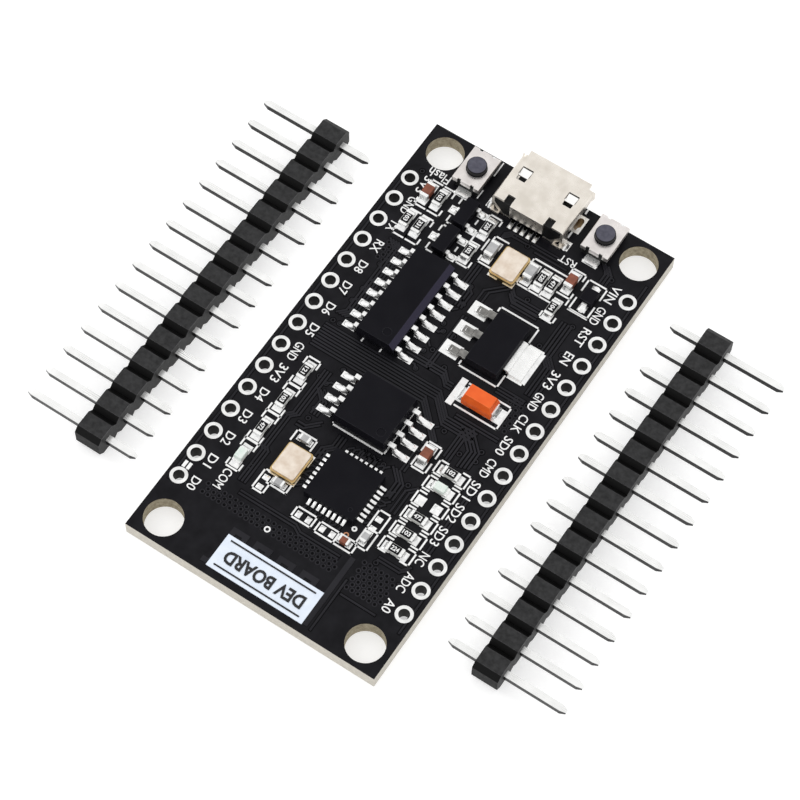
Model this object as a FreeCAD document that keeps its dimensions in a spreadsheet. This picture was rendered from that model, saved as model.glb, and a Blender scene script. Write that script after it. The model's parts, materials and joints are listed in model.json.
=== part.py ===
import FreeCAD, Part
import math
import os
import re

import Sketcher

# A small microcontroller development board with a micro-USB socket, two push buttons, a wireless
# chip, its flash memory, a USB-serial chip, a voltage regulator and a printed antenna, and the two
# loose 15-pin header strips that are supplied with it.
#
# Frame, in millimetres: the origin is the centre of the four mounting holes on the board's
# underside, +Z points out of the component side, and +Y points to the USB socket.

SIZES = {
    # board
    "board_width": 25.1,
    "board_length": 47.9,
    "board_thickness": 1.6,
    "mount_from_side": 2.35,
    "mount_from_end": 2.25,
    "mount_hole_diameter": 3.5,
    # header holes
    "pin_pitch": 2.54,
    "pins_per_row": 15,
    "row_spacing": 22.86,
    "pin_hole_diameter": 1.0,
    "pin_pad_diameter": 1.6,
    "plating_wall": 0.05,
    "land_thickness": 0.04,
    # header strips
    "pin_width": 0.64,
    "pin_long_side": 5.9,
    "pin_short_side": 3.0,
    "pin_point": 0.5,
    "pin_point_width": 0.3,
    "strip_depth": 2.5,
    "strip_cell_chamfer": 0.5,
    "strip_cell_height": 2.54,
    "left_strip_gap": 7.2,
    "left_strip_y": -0.5,
    "right_strip_gap": 7.4,
    "right_strip_y": 0.3,
    # micro-USB socket
    "usb_width": 7.35,
    "usb_height": 2.45,
    "usb_length": 4.9,
    "usb_overhang": 0.15,
    "usb_wall": 0.25,
    "usb_bottom_clearance": 0.05,
    "usb_side_bevel_x": 0.95,
    "usb_side_bevel_z": 1.2,
    "usb_bend_radius": 0.4,
    "usb_lip_length": 0.75,
    "usb_side_lip_length": 0.4,
    "usb_lip_flare": 0.2,
    "usb_lip_notch": 0.5,
    "usb_window_x": 2.4,
    "usb_window_width": 1.1,
    "usb_window_taper": 0.12,
    "usb_window_length": 1.45,
    "usb_window_setback": 0.9,
    "usb_spring_gap": 0.12,
    "usb_spring_sink": 0.06,
    "usb_spring_drop": 0.18,
    "usb_spring_length": 0.78,
    "usb_notch_x": 2.1,
    "usb_notch_width": 0.75,
    "usb_notch_depth": 0.8,
    "usb_flap_width": 3.4,
    "usb_flap_bottom": 0.85,
    "usb_foot_length": 1.0,
    "usb_foot_width": 0.85,
    "usb_core_length": 1.6,
    "usb_floor_opening": 0.7,
    "usb_tongue_width": 3.9,
    "usb_tongue_thickness": 0.6,
    "usb_tongue_length": 2.5,
    "usb_tongue_height": 1.3,
    "usb_contact_pitch": 0.65,
    "usb_contact_width": 0.28,
    "usb_contact_thickness": 0.12,
    "usb_contact_count": 5,
    "usb_tail_reach": 0.75,
    "usb_contact_bend": 0.35,
    "usb_contact_setback": 0.35,
    "usb_contact_land_margin": 0.05,
    "usb_foot_land_offset": 0.075,
    "usb_foot_land_setback": 0.45,
    "usb_foot_land_width": 1.05,
    "usb_foot_land_length": 1.0,
    # plated slot beside the socket
    "slot_from_shell": 0.005,
    "slot_from_end": 1.8,
    "slot_width": 0.6,
    "slot_length": 1.35,
    "slot_pad_width": 1.02,
    "slot_pad_length": 1.9,
    # push buttons
    "flash_button_from_end": 2.7,
    "reset_button_from_end": 2.28,
    "button_width": 2.8,
    "button_length": 3.85,
    "button_base_height": 1.0,
    "button_cover_height": 1.35,
    "button_cover_wall": 0.15,
    "button_plunger_diameter": 1.85,
    "button_plunger_top": 1.9,
    "button_plunger_clearance": 0.06,
    "button_plunger_flange": 0.12,
    "button_flange_height": 0.2,
    "button_travel": 0.25,
    "button_well_gap": 0.08,
    "button_floor": 0.3,
    "button_dome_thickness": 0.06,
    "button_dome_rise": 0.35,
    "button_dome_crown": 0.3,
    "button_edge_round": 0.1,
    "button_terminal_width": 1.35,
    "button_terminal_reach": 0.6,
    "button_terminal_thickness": 0.15,
    "button_ear_width": 0.35,
    "button_ear_gap": 0.5,
    "button_ear_depth": 0.18,
    "button_ear_overcut": 0.05,
    "button_skirt_gap": 0.8,
    "button_flange_gap": 0.03,
    "button_dome_gap": 0.05,
    "button_land_side": 0.05,
    "button_land_end": 0.1,
    # gull-wing chips
    "lead_thickness": 0.2,
    "lead_width": 0.42,
    "lead_pitch": 1.27,
    "lead_foot": 0.62,
    "lead_bend_share": 0.45,
    "lead_bend_room": 0.8,
    "lead_land_heel": 0.125,
    "lead_land_side": 0.1,
    "usb_chip_width": 3.9,
    "usb_chip_length": 9.9,
    "usb_chip_height": 1.55,
    "usb_chip_span": 6.1,
    "usb_chip_bevel": 0.45,
    "usb_chip_land_toe": 0.5,
    "usb_chip_dimple_x": 0.6,
    "usb_chip_dimple_from_end": 1.11,
    "memory_width": 5.3,
    "memory_length": 5.3,
    "memory_height": 1.9,
    "memory_span": 7.9,
    "memory_land_toe": 0.7,
    "memory_dimple_inset": 0.9,
    "chip_standoff": 0.12,
    "chip_draft": 7.0,
    "chip_dimple_diameter": 0.8,
    "chip_dimple_depth": 0.06,
    # wireless chip
    "wifi_size": 5.0,
    "wifi_height": 0.85,
    "wifi_pitch": 0.5,
    "wifi_pads_per_side": 8,
    "wifi_pad_width": 0.25,
    "wifi_pad_length": 0.4,
    "wifi_pad_height": 0.2,
    "wifi_land_reach": 3.05,
    "wifi_land_side": 0.01,
    "wifi_thermal_size": 3.4,
    "wifi_dot_diameter": 0.35,
    "wifi_dot_inset": 0.75,
    # crystals
    "crystal_width": 2.5,
    "crystal_length": 3.2,
    "crystal_base_height": 0.45,
    "crystal_lid_height": 0.25,
    "crystal_lid_inset": 0.12,
    "crystal_corner": 0.25,
    "crystal_land_width": 1.0,
    "crystal_land_length": 1.15,
    "crystal_land_side": 0.05,
    "crystal_land_end": 0.075,
    # voltage regulator
    "regulator_width": 3.3,
    "regulator_length": 5.7,
    "regulator_height": 1.15,
    "regulator_lead_pitch": 2.3,
    "regulator_lead_width": 0.72,
    "regulator_tab_width": 3.3,
    "regulator_span": 7.0,
    "regulator_lead_thickness": 0.26,
    "regulator_lead_height": 0.3,
    "regulator_foot": 1.0,
    "regulator_tab_foot": 1.35,
    "regulator_land_width": 1.45,
    "regulator_land_length": 1.75,
    "regulator_land_toe": 0.65,
    "regulator_tab_land_width": 3.9,
    "regulator_tab_land_length": 1.5,
    "regulator_tab_land_toe": 0.15,
    # tantalum capacitor
    "tantalum_length": 3.2,
    "tantalum_width": 1.6,
    "tantalum_height": 1.7,
    "tantalum_draft": 15.0,
    "tantalum_terminal_width": 1.2,
    "tantalum_terminal_height": 0.9,
    "tantalum_terminal_thickness": 0.12,
    "tantalum_sole": 0.8,
    "tantalum_land_length": 1.7,
    "tantalum_land_width": 1.5,
    "tantalum_land_shift": 0.1,
    # small transistors
    "transistor_width": 1.3,
    "transistor_length": 2.9,
    "transistor_height": 1.0,
    "transistor_span": 2.5,
    "transistor_lead_width": 0.4,
    "transistor_lead_pitch": 1.9,
    "transistor_lead_thickness": 0.13,
    "transistor_foot": 0.3,
    "transistor_standoff": 0.1,
    "transistor_land_offset": 0.55,
    "transistor_land_length": 0.85,
    "transistor_land_width": 0.7,
    "transistor_single_land_width": 0.8,
    # diode
    "diode_width": 1.3,
    "diode_length": 1.45,
    "diode_height": 0.75,
    "diode_lead_width": 0.5,
    "diode_span": 2.5,
    "diode_foot": 0.32,
    "diode_land_offset": 0.33,
    "diode_land_size": 0.75,
    # two-terminal chips
    "chip_length": 1.6,
    "chip_width": 0.82,
    "chip_cap_length": 0.3,
    "resistor_height": 0.42,
    "resistor_coat_height": 0.05,
    "resistor_coat_margin": 0.04,
    "capacitor_height": 0.78,
    "capacitor_small_length": 1.05,
    "capacitor_small_width": 0.55,
    "capacitor_small_height": 0.5,
    "capacitor_small_cap": 0.22,
    "chip_land_length": 0.85,
    "chip_land_gap": 0.75,
    "chip_land_side": 0.04,
    "small_land_length": 0.5,
    "small_land_gap": 0.5,
    "small_land_side": 0.025,
    "led_base_height": 0.3,
    "led_lens_height": 0.35,
    "led_lens_length": 1.1,
    # printed antenna
    "antenna_width": 0.5,
    "antenna_top_from_end": 4.6,
    "antenna_bottom_from_end": 1.05,
    "antenna_feed_x": 5.1,
    "antenna_feed_from_end": 8.05,
    "antenna_first_x": 3.65,
    "antenna_step": 1.17,
    "antenna_bars": 8,
    "antenna_tail": 0.65,
    "body_edge_round": 0.08,
}

BUTTON_COLUMNS = {
    "flash_button_x": -6.6,
    "reset_button_x": 6.6,
}

# Where each other component stands on the board, by its middle.
PLACES = {
    "usb_chip": (-4.58, 6.7),
    "memory": (-0.72, -3.9),
    "wifi": (0.88, -10.95),
    "usb_crystal": (0.96, 14.92),
    "wifi_crystal": (-4.05, -11.65),
    "regulator": (4.42, 7.52),
    "tantalum": (6.15, 2.05),
    "upper_transistor": (-5.1, 17.15),
    "lower_transistor": (-5.1, 13.9),
    "diode": (8.45, 16.12),
}

# Two-terminal chips: (x, y, turn about Z in degrees; 90 stands the part's length along Y).
RESISTORS = {
    "flash_pull_up": (-7.95, 17.35, 90),
    "reset_pull_up": (-9.25, 13.95, 90),
    "enable_pull_up": (-7.95, 13.95, 90),
    "upper_base_resistor": (-2.8, 17.15, 90),
    "lower_base_resistor": (-2.85, 14.2, 90),
    "usb_data_plus_resistor": (4.0, 15.4, 90),
    "usb_data_minus_resistor": (5.1, 15.4, 90),
    "supply_divider_resistor": (6.3, 13.45, 90),
    "memory_pull_up": (-8.1, -3.75, 90),
    "boot_pull_up": (-8.1, -7.0, 90),
    "boot_pull_down": (-8.1, -10.25, 90),
    "led_resistor": (7.72, -4.95, 0),
    "analog_resistor_1": (7.66, -9.95, 0),
    "analog_resistor_2": (7.66, -11.7, 0),
    "analog_resistor_3": (7.66, -13.45, 0),
}
BROWN_CAPACITORS = {
    "supply_capacitor": (-9.2, 17.3, 90),
    "regulator_capacitor": (6.3, 16.65, 90),
    "memory_capacitor": (5.0, -4.65, 90),
}
GREY_CAPACITORS = {
    "usb_crystal_capacitor_1": (-1.2, 15.4, 90),
    "usb_crystal_capacitor_2": (2.85, 15.4, 90),
}
SMALL_GREY_CAPACITORS = {
    "wifi_crystal_capacitor_1": (-4.4, -9.15, 0),
    "wifi_crystal_capacitor_2": (-3.95, -13.75, 0),
    "antenna_capacitor_1": (4.95, -13.85, 90),
}
SMALL_BROWN_CAPACITORS = {
    "antenna_capacitor_2": (3.65, -15.15, 0),
}
LEDS = {
    "status_led": (-8.1, -13.35, 90),
    "wifi_led": (7.72, -6.6, 0),
}
# Footprints that the maker leaves empty, so that only their lands show.
EMPTY_FOOTPRINTS = {
    "spare_led": (7.66, -8.35, 0),
}
SMALL_EMPTY_FOOTPRINTS = {
    "spare_capacitor_1": (-5.15, -14.35, 90),
    "spare_capacitor_2": (-0.45, -15.15, 0),
    "spare_capacitor_3": (1.95, -15.15, 0),
    "spare_capacitor_4": (4.95, -12.3, 90),
}

# Heights, and places that follow the board's ends and sides, as expressions of the sizes.
TOP = "board_thickness"
LAND_TOP = "board_thickness + land_thickness"
MOUNT_X = "(board_width / 2 - mount_from_side)"
MOUNT_Y = "(board_length / 2 - mount_from_end)"
USB_FRONT = "board_length / 2 + usb_overhang"
USB_REAR = "board_length / 2 + usb_overhang - usb_length"
WINDOW_FRONT = "board_length / 2 + usb_overhang - usb_window_setback"
SLOT_X = "usb_width / 2 + slot_from_shell"
SLOT_Y = "board_length / 2 - slot_from_end"
WELL_RADIUS = "button_plunger_diameter / 2 + button_plunger_flange + button_well_gap"
STRIP_X = {
    "left": "-(board_width / 2 + left_strip_gap)",
    "right": "board_width / 2 + right_strip_gap",
}

QUARTER_TURN = 90.0
HALF_TURN = 180.0
FULL_TURN = 360.0
TOUCH = 1e-3  # lengths under this count as none
PAST = 1.0  # how far a cutting solid runs past what it cuts

doc = FreeCAD.newDocument("dev_board")
sheet = doc.addObject("Spreadsheet::Sheet", "Sizes")


def fill_sheet():
    """Writes every size and place into the sheet, one aliased plain number to a row."""
    cells = dict(SIZES)
    cells.update(BUTTON_COLUMNS)
    for name, place in PLACES.items():
        cells[name + "_x"] = place[0]
        cells[name + "_y"] = place[1]
    turned = [RESISTORS, BROWN_CAPACITORS, GREY_CAPACITORS, SMALL_GREY_CAPACITORS]
    turned += [SMALL_BROWN_CAPACITORS, LEDS, EMPTY_FOOTPRINTS, SMALL_EMPTY_FOOTPRINTS]
    for table in turned:
        for name, place in table.items():
            cells[name + "_x"] = place[0]
            cells[name + "_y"] = place[1]
            cells[name + "_turn"] = place[2]
    for row, (alias, number) in enumerate(cells.items(), start=1):
        sheet.set(f"A{row}", alias.replace("_", " "))
        sheet.set(f"B{row}", str(number))
        sheet.setAlias(f"B{row}", alias)
    doc.recompute()


fill_sheet()


def size(alias):
    """The number in the sheet's cell of that alias."""
    return float(sheet.get(alias))


def cells_of(expression):
    """The expression with each alias written as a cell of the sheet."""
    return re.sub(r"\b([a-z]\w*)\b(?!\()", r"Sizes.\1", expression)


def number(expression):
    """What an expression of the sheet's aliases comes to."""
    return float(sheet.evalExpression(expression))


def bind(thing, prop, expression):
    """Ties one property to the sheet."""
    thing.setExpression(prop, cells_of(expression))


def place(thing, x, y, z):
    """Ties an object's position to the sheet."""
    bind(thing, "Placement.Base.x", x)
    bind(thing, "Placement.Base.y", y)
    bind(thing, "Placement.Base.z", z)


# ---------------------------------------------------------------- PartDesign helpers


def new_body(label):
    """An empty PartDesign body with that label."""
    body = doc.addObject("PartDesign::Body", label)
    body.Label = label
    return body


def new_sketch(body, name, role="XY_Plane", height="0"):
    """A sketch on one of the body's own origin planes, raised along that plane's normal."""
    sketch = body.newObject("Sketcher::SketchObject", name)
    plane = [f for f in body.Origin.OriginFeatures if f.Role == role][0]
    sketch.AttachmentSupport = [(plane, "")]
    sketch.MapMode = "FlatFace"
    bind(sketch, "AttachmentOffset.Base.z", height)
    return sketch


def hold(sketch, kind, references, name, expression):
    """A named sketch dimension that follows the sheet."""
    constraint = Sketcher.Constraint(kind, *references, number(expression))
    index = sketch.addConstraint(constraint)
    sketch.renameConstraint(index, name)
    bind(sketch, f"Constraints.{name}", expression)


def add_outline(sketch, points, tag=""):
    """A closed outline of straight lines through points given as pairs of expressions."""
    first = sketch.GeometryCount
    corners = [FreeCAD.Vector(number(x), number(y), 0) for x, y in points]
    count = len(corners)
    for i in range(count):
        sketch.addGeometry(Part.LineSegment(corners[i], corners[(i + 1) % count]), False)
    for i in range(count):
        after = first + (i + 1) % count
        sketch.addConstraint(Sketcher.Constraint("Coincident", first + i, 2, after, 1))
    for i, (x, y) in enumerate(points):
        hold(sketch, "DistanceX", (-1, 1, first + i, 1), f"x{tag}{i}", x)
        hold(sketch, "DistanceY", (-1, 1, first + i, 1), f"y{tag}{i}", y)


def add_rectangle(sketch, width, height, x="0", y="0", tag=""):
    """A rectangle about the point x, y."""
    left, right = f"{x} - ({width}) / 2", f"{x} + ({width}) / 2"
    low, high = f"{y} - ({height}) / 2", f"{y} + ({height}) / 2"
    add_outline(sketch, [(left, low), (right, low), (right, high), (left, high)], tag)


def add_circle(sketch, radius, x="0", y="0", tag=""):
    """A circle about the point x, y."""
    centre = FreeCAD.Vector(number(x), number(y), 0)
    circle = Part.Circle(centre, FreeCAD.Vector(0, 0, 1), number(radius))
    index = sketch.addGeometry(circle, False)
    hold(sketch, "DistanceX", (-1, 1, index, 3), f"x{tag}", x)
    hold(sketch, "DistanceY", (-1, 1, index, 3), f"y{tag}", y)
    hold(sketch, "Radius", (index,), f"radius{tag}", radius)


def pad(body, sketch, name, length, draft=None, down=False, middle=False):
    """Extrudes a sketch along its normal, or against it with down."""
    feature = body.newObject("PartDesign::Pad", name)
    feature.Profile = sketch
    bind(feature, "Length", length)
    if draft is not None:
        bind(feature, "TaperAngle", draft)
    feature.Reversed = down
    feature.Midplane = middle
    doc.recompute()
    return feature


def pocket(body, sketch, name, depth=None, up=False):
    """Cuts a sketch into the body, against its normal, or along it with up. No depth means through all."""
    before = body.Shape.Volume
    feature = body.newObject("PartDesign::Pocket", name)
    feature.Profile = sketch
    if depth is None:
        feature.Type = "ThroughAll"
    else:
        bind(feature, "Length", depth)
    feature.Reversed = up
    doc.recompute()
    if body.Shape.Volume > before - TOUCH ** 2:
        raise ValueError(f"{name} in {body.Label} removes nothing")
    return feature


def edges(feature, wanted):
    """The names of a feature's edges for which wanted(edge) holds."""
    return [f"Edge{i}" for i, e in enumerate(feature.Shape.Edges, start=1) if wanted(e)]


def round_edges(body, feature, name, radius, wanted):
    """Fillets the chosen edges of a feature."""
    fillet = body.newObject("PartDesign::Fillet", name)
    fillet.Base = (feature, edges(feature, wanted))
    bind(fillet, "Radius", radius)
    doc.recompute()
    return fillet


def is_upright(edge):
    """Does the edge run along Z?"""
    box = edge.BoundBox
    return box.ZLength > TOUCH and box.XLength < TOUCH and box.YLength < TOUCH


def at_top(feature):
    """A test for the edges that lie in the feature's top plane."""
    top = feature.Shape.BoundBox.ZMax
    return lambda edge: edge.BoundBox.ZMin > top - TOUCH


def block(label, width, length, height, x="0", y="0", z="0"):
    """A plain block as a body: width along X, length along Y, standing on z."""
    body = new_body(label)
    sketch = new_sketch(body, label + "_outline")
    add_rectangle(sketch, width, length)
    pad(body, sketch, label + "_pad", height)
    place(body, x, y, z)
    return body


# ---------------------------------------------------------------- groups of like solids


def shape_at(shape, x, y, z, turn=0.0):
    """A copy of a shape, turned about Z and moved."""
    copy = shape.copy()
    spin = FreeCAD.Rotation(FreeCAD.Vector(0, 0, 1), turn)
    copy.Placement = FreeCAD.Placement(FreeCAD.Vector(x, y, z), spin).multiply(copy.Placement)
    return copy


def group(label, solids):
    """One named sub-part that holds several separate solids."""
    feature = doc.addObject("Part::Feature", label)
    feature.Label = label
    feature.Shape = Part.makeCompound(solids)
    return feature


def brick(x0, x1, y0, y1, z0, z1):
    """A rectangular solid between two corners."""
    corner = FreeCAD.Vector(min(x0, x1), min(y0, y1), z0)
    return Part.makeBox(abs(x1 - x0), abs(y1 - y0), z1 - z0, corner)


def prism(outline, direction):
    """A solid made by moving a closed outline of 3-D points along a direction."""
    points = [FreeCAD.Vector(*p) for p in outline]
    face = Part.Face(Part.makePolygon(points + points[:1]))
    return face.extrude(FreeCAD.Vector(*direction))


exported = []
lands = []


def keep(*features):
    """Marks features as sub-parts to write out."""
    exported.extend(features)


def add_land(x, y, width, length):
    """Notes one bare copper land on the component side."""
    top = size("board_thickness")
    solid = brick(x - width / 2, x + width / 2, y - length / 2, y + length / 2, top, number(LAND_TOP))
    lands.append(solid)


# ---------------------------------------------------------------- circuit board


def make_board():
    """The drilled laminate."""
    body = new_body("circuit_board")
    outline = new_sketch(body, "board_outline")
    add_rectangle(outline, "board_width", "board_length")
    pad(body, outline, "board_pad", "board_thickness")
    mounts = new_sketch(body, "mounting_holes")
    for i, (sx, sy) in enumerate([("-", "-"), ("", "-"), ("", ""), ("-", "")]):
        add_circle(mounts, "mount_hole_diameter / 2", sx + MOUNT_X, sy + MOUNT_Y, f"m{i}")
    pocket(body, mounts, "mounting_pocket", up=True)
    slot = new_sketch(body, "shell_slot")
    add_slot(slot, "slot_width / 2 + plating_wall", "slot_length / 2 - slot_width / 2")
    pocket(body, slot, "slot_pocket", up=True)
    first_y = "pin_pitch * (pins_per_row - 1) / 2"
    drill = new_sketch(body, "pin_drill")
    recess = new_sketch(body, "pin_pad_recess")
    for tag, x in (("left", "-row_spacing / 2"), ("right", "row_spacing / 2")):
        add_circle(drill, "pin_hole_diameter / 2 + plating_wall", x, first_y, tag)
        add_circle(recess, "pin_pad_diameter / 2", x, first_y, tag)
    drilled = pocket(body, drill, "pin_drill_pocket", up=True)
    recessed = pocket(body, recess, "pin_recess_pocket", "land_thickness", up=True)
    rows = body.newObject("PartDesign::LinearPattern", "pin_rows")
    rows.Originals = [drilled, recessed]
    axis = [f for f in body.Origin.OriginFeatures if f.Role == "Y_Axis"][0]
    rows.Direction = (axis, [""])
    rows.Reversed = True
    bind(rows, "Length", "pin_pitch * (pins_per_row - 1)")
    bind(rows, "Occurrences", "pins_per_row")
    before = body.Shape.Volume
    body.Tip = rows
    doc.recompute()
    if body.Shape.Volume > before - TOUCH:
        raise ValueError("the pin pattern drills nothing")
    keep(body)


def add_slot(sketch, radius, half_run):
    """An upright slot about the shell slot's middle: two half circles joined by two lines."""
    x, y, r, h = number(SLOT_X), number(SLOT_Y), number(radius), number(half_run)
    up = FreeCAD.Vector(0, 0, 1)
    high = Part.Circle(FreeCAD.Vector(x, y + h, 0), up, r)
    low = Part.Circle(FreeCAD.Vector(x, y - h, 0), up, r)
    a = sketch.addGeometry(Part.ArcOfCircle(high, 0, math.pi), False)
    b = sketch.addGeometry(Part.ArcOfCircle(low, math.pi, 2 * math.pi), False)
    left = Part.LineSegment(FreeCAD.Vector(x - r, y + h, 0), FreeCAD.Vector(x - r, y - h, 0))
    right = Part.LineSegment(FreeCAD.Vector(x + r, y - h, 0), FreeCAD.Vector(x + r, y + h, 0))
    c = sketch.addGeometry(left, False)
    d = sketch.addGeometry(right, False)
    for first, end, second, start in ((a, 2, c, 1), (c, 2, b, 1), (b, 2, d, 1), (d, 2, a, 1)):
        sketch.addConstraint(Sketcher.Constraint("Tangent", first, end, second, start))
    hold(sketch, "Radius", (a,), "slot_radius", radius)
    for tag, arc, sign in (("high", a, "+"), ("low", b, "-")):
        hold(sketch, "DistanceX", (-1, 1, arc, 3), f"x{tag}", SLOT_X)
        hold(sketch, "DistanceY", (-1, 1, arc, 3), f"y{tag}", f"{SLOT_Y} {sign} ({half_run})")


def make_plating():
    """The plated barrels of the header holes, and of the slot beside the USB socket."""
    top, low = number(LAND_TOP), size("land_thickness")
    hole, pad_radius = size("pin_hole_diameter") / 2, size("pin_pad_diameter") / 2
    tube = Part.makeCylinder(hole + size("plating_wall"), top)
    upper = Part.makeCylinder(pad_radius, low, FreeCAD.Vector(0, 0, size("board_thickness")))
    lower = Part.makeCylinder(pad_radius, low)
    barrel = tube.fuse([upper, lower]).removeSplitter().cut(Part.makeCylinder(hole, top))
    barrels = []
    for side in (-1, 1):
        for i in range(int(size("pins_per_row"))):
            y = size("pin_pitch") * (i - (size("pins_per_row") - 1) / 2)
            barrels.append(shape_at(barrel, side * size("row_spacing") / 2, y, 0))
    keep(group("pin_hole_barrels", barrels))
    x, y, run = number(SLOT_X), number(SLOT_Y), size("slot_length") / 2 - size("slot_width") / 2
    outer = slot_prism(x, y, size("slot_width") / 2 + size("plating_wall"), run, top)
    inner = slot_prism(x, y, size("slot_width") / 2, run, top)
    wide, long = size("slot_pad_width") / 2, size("slot_pad_length") / 2
    ring = brick(x - wide, x + wide, y - long, y + long, size("board_thickness"), top)
    keep(group("shell_slot_plating", [outer.fuse(ring).cut(inner).removeSplitter()]))


def slot_prism(x, y, radius, run, height):
    """An upright solid of a slot's shape, its length along Y."""
    ends = [Part.makeCylinder(radius, height, FreeCAD.Vector(x, y + s * run, 0)) for s in (-1, 1)]
    middle = brick(x - radius, x + radius, y - run, y + run, 0, height)
    return middle.fuse(ends).removeSplitter()


# ---------------------------------------------------------------- micro-USB socket


def usb_section(y, grow):
    """The socket's outline across Y: round upper corners, bevelled lower ones. grow moves it out."""
    half = size("usb_width") / 2 + grow
    low = size("board_thickness") + size("usb_bottom_clearance") - grow
    high = size("board_thickness") + size("usb_height") + grow
    bevel_x, bevel_z = size("usb_side_bevel_x"), size("usb_side_bevel_z")
    bend = size("usb_bend_radius") + grow
    short = bend * (1 - math.cos(math.pi / 4))
    right = [(half, low + bevel_z), (half, high - bend), (half - short, high - short), (half - bend, high)]
    points = [(half - bevel_x, low)] + right
    points += [(-x, z) for x, z in reversed(points)]
    points = [FreeCAD.Vector(x, y, z) for x, z in points]
    upright, right_arc, top, left_arc = points[1:3], points[2:5], points[4:6], points[5:8]
    edges = [Part.makeLine(*points[0:2]), Part.makeLine(*upright), Part.Arc(*right_arc).toShape()]
    edges += [Part.makeLine(*top), Part.Arc(*left_arc).toShape(), Part.makeLine(*points[7:9])]
    edges += [Part.makeLine(*points[8:10]), Part.makeLine(points[9], points[0])]
    return Part.Wire(edges)


def usb_loft(y0, grow0, y1, grow1):
    """The solid between two of the socket's outlines."""
    return Part.makeLoft([usb_section(y0, grow0), usb_section(y1, grow1)], True, True)


def make_usb_shell():
    """The folded sheet-metal shell: tube, flared mouth, latch windows, rear flap and side feet."""
    wall, rear, front = size("usb_wall"), number(USB_REAR), number(USB_FRONT)
    top, half = number("board_thickness + usb_height"), size("usb_width") / 2
    lip_end = front + size("usb_lip_length")
    flare = size("usb_lip_flare")
    outer = usb_loft(rear, 0, front, 0).fuse(usb_loft(front, 0, lip_end, flare))
    inner = usb_loft(rear - PAST, -wall, front, -wall)
    mouth = usb_loft(front, -wall, lip_end, flare - wall)
    shell = outer.cut(inner.fuse(mouth))
    shell = shell.cut(brick(-half - PAST, half + PAST, front - PAST, lip_end + PAST, -PAST, number(TOP)))
    tall = top + PAST
    # the floor is open at the rear, where the contacts come down to the board
    flap = size("usb_flap_width") / 2
    open_to = rear + size("usb_floor_opening")
    floor_top = number("board_thickness + usb_bottom_clearance + usb_wall")
    shell = shell.cut(brick(-flap, flap, rear - PAST, open_to, -PAST, floor_top))
    for side in (-1, 1):
        # the lip is cut back at its corners, where the four flares part
        near, far = side * (half - size("usb_lip_notch")), side * (half + PAST)
        notch_z = top - size("usb_lip_notch") / 2
        shell = shell.cut(brick(near, far, front + wall, lip_end + PAST, notch_z, tall))
        corner_z = number("board_thickness + usb_side_bevel_z")
        inside = half - size("usb_side_bevel_x")
        shell = shell.cut(brick(side * inside, far, front + wall, lip_end + PAST, -PAST, corner_z))
        side_end = front + size("usb_side_lip_length")
        shell = shell.cut(brick(near, far, side_end, lip_end + PAST, -PAST, tall))
        x, w, taper = side * size("usb_window_x"), size("usb_window_width") / 2, size("usb_window_taper")
        y0, y1 = number(WINDOW_FRONT) - size("usb_window_length"), number(WINDOW_FRONT)
        base = top - 2 * wall
        outline = [(x - w + taper, y0, base), (x + w - taper, y0, base), (x + w, y1, base), (x - w, y1, base)]
        shell = shell.cut(prism(outline, (0, 0, 3 * wall)))
        x, w = side * size("usb_notch_x"), size("usb_notch_width") / 2
        shell = shell.cut(brick(x - w, x + w, rear - PAST, rear + size("usb_notch_depth"), base, tall))
    pieces = [shell]
    # rear flap: the top wall folded down behind the insulator
    low = number("board_thickness + usb_flap_bottom")
    pieces.append(brick(-flap, flap, rear - wall, rear, low, top))
    pieces.append(brick(-flap, flap, rear - wall, rear + size("usb_notch_depth"), top - wall, top))
    for side in (-1, 1):
        # latch spring: a leaf that sinks towards the rear, joined to both sides of the window
        x, w = side * size("usb_window_x"), size("usb_window_width") / 2
        y1, drop = number(WINDOW_FRONT) - size("usb_spring_gap"), size("usb_spring_drop")
        y0, thick, sunk = y1 - size("usb_spring_length"), wall / 2, top - size("usb_spring_sink")
        side_view = [(x - w, y1, sunk), (x - w, y1, sunk - thick), (x - w, y0, top - drop - thick)]
        side_view.append((x - w, y0, top - drop))
        pieces.append(prism(side_view, (2 * w, 0, 0)))
        # foot: the side wall drawn down to the board at the rear and turned in along it
        out, back = side * half, rear + size("usb_foot_length")
        knee = number("board_thickness + usb_bottom_clearance + usb_side_bevel_z")
        pieces.append(brick(out - side * wall, out, rear, back, number(LAND_TOP), knee + wall))
        turned = out - side * size("usb_foot_width")
        pieces.append(brick(turned, out, rear - wall, rear, number(LAND_TOP), number(LAND_TOP) + wall))
        low = number(LAND_TOP)
        pieces.append(brick(out - side * wall, out, rear - wall, back, low, low + wall))
        land_x, land_y = out + side * size("usb_foot_land_offset"), rear + size("usb_foot_land_setback")
        add_land(land_x, land_y, size("usb_foot_land_width"), size("usb_foot_land_length"))
    shell = pieces[0].fuse(pieces[1:]).removeSplitter()
    keep(group("usb_shell", shell.Solids))
    return shell


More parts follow.
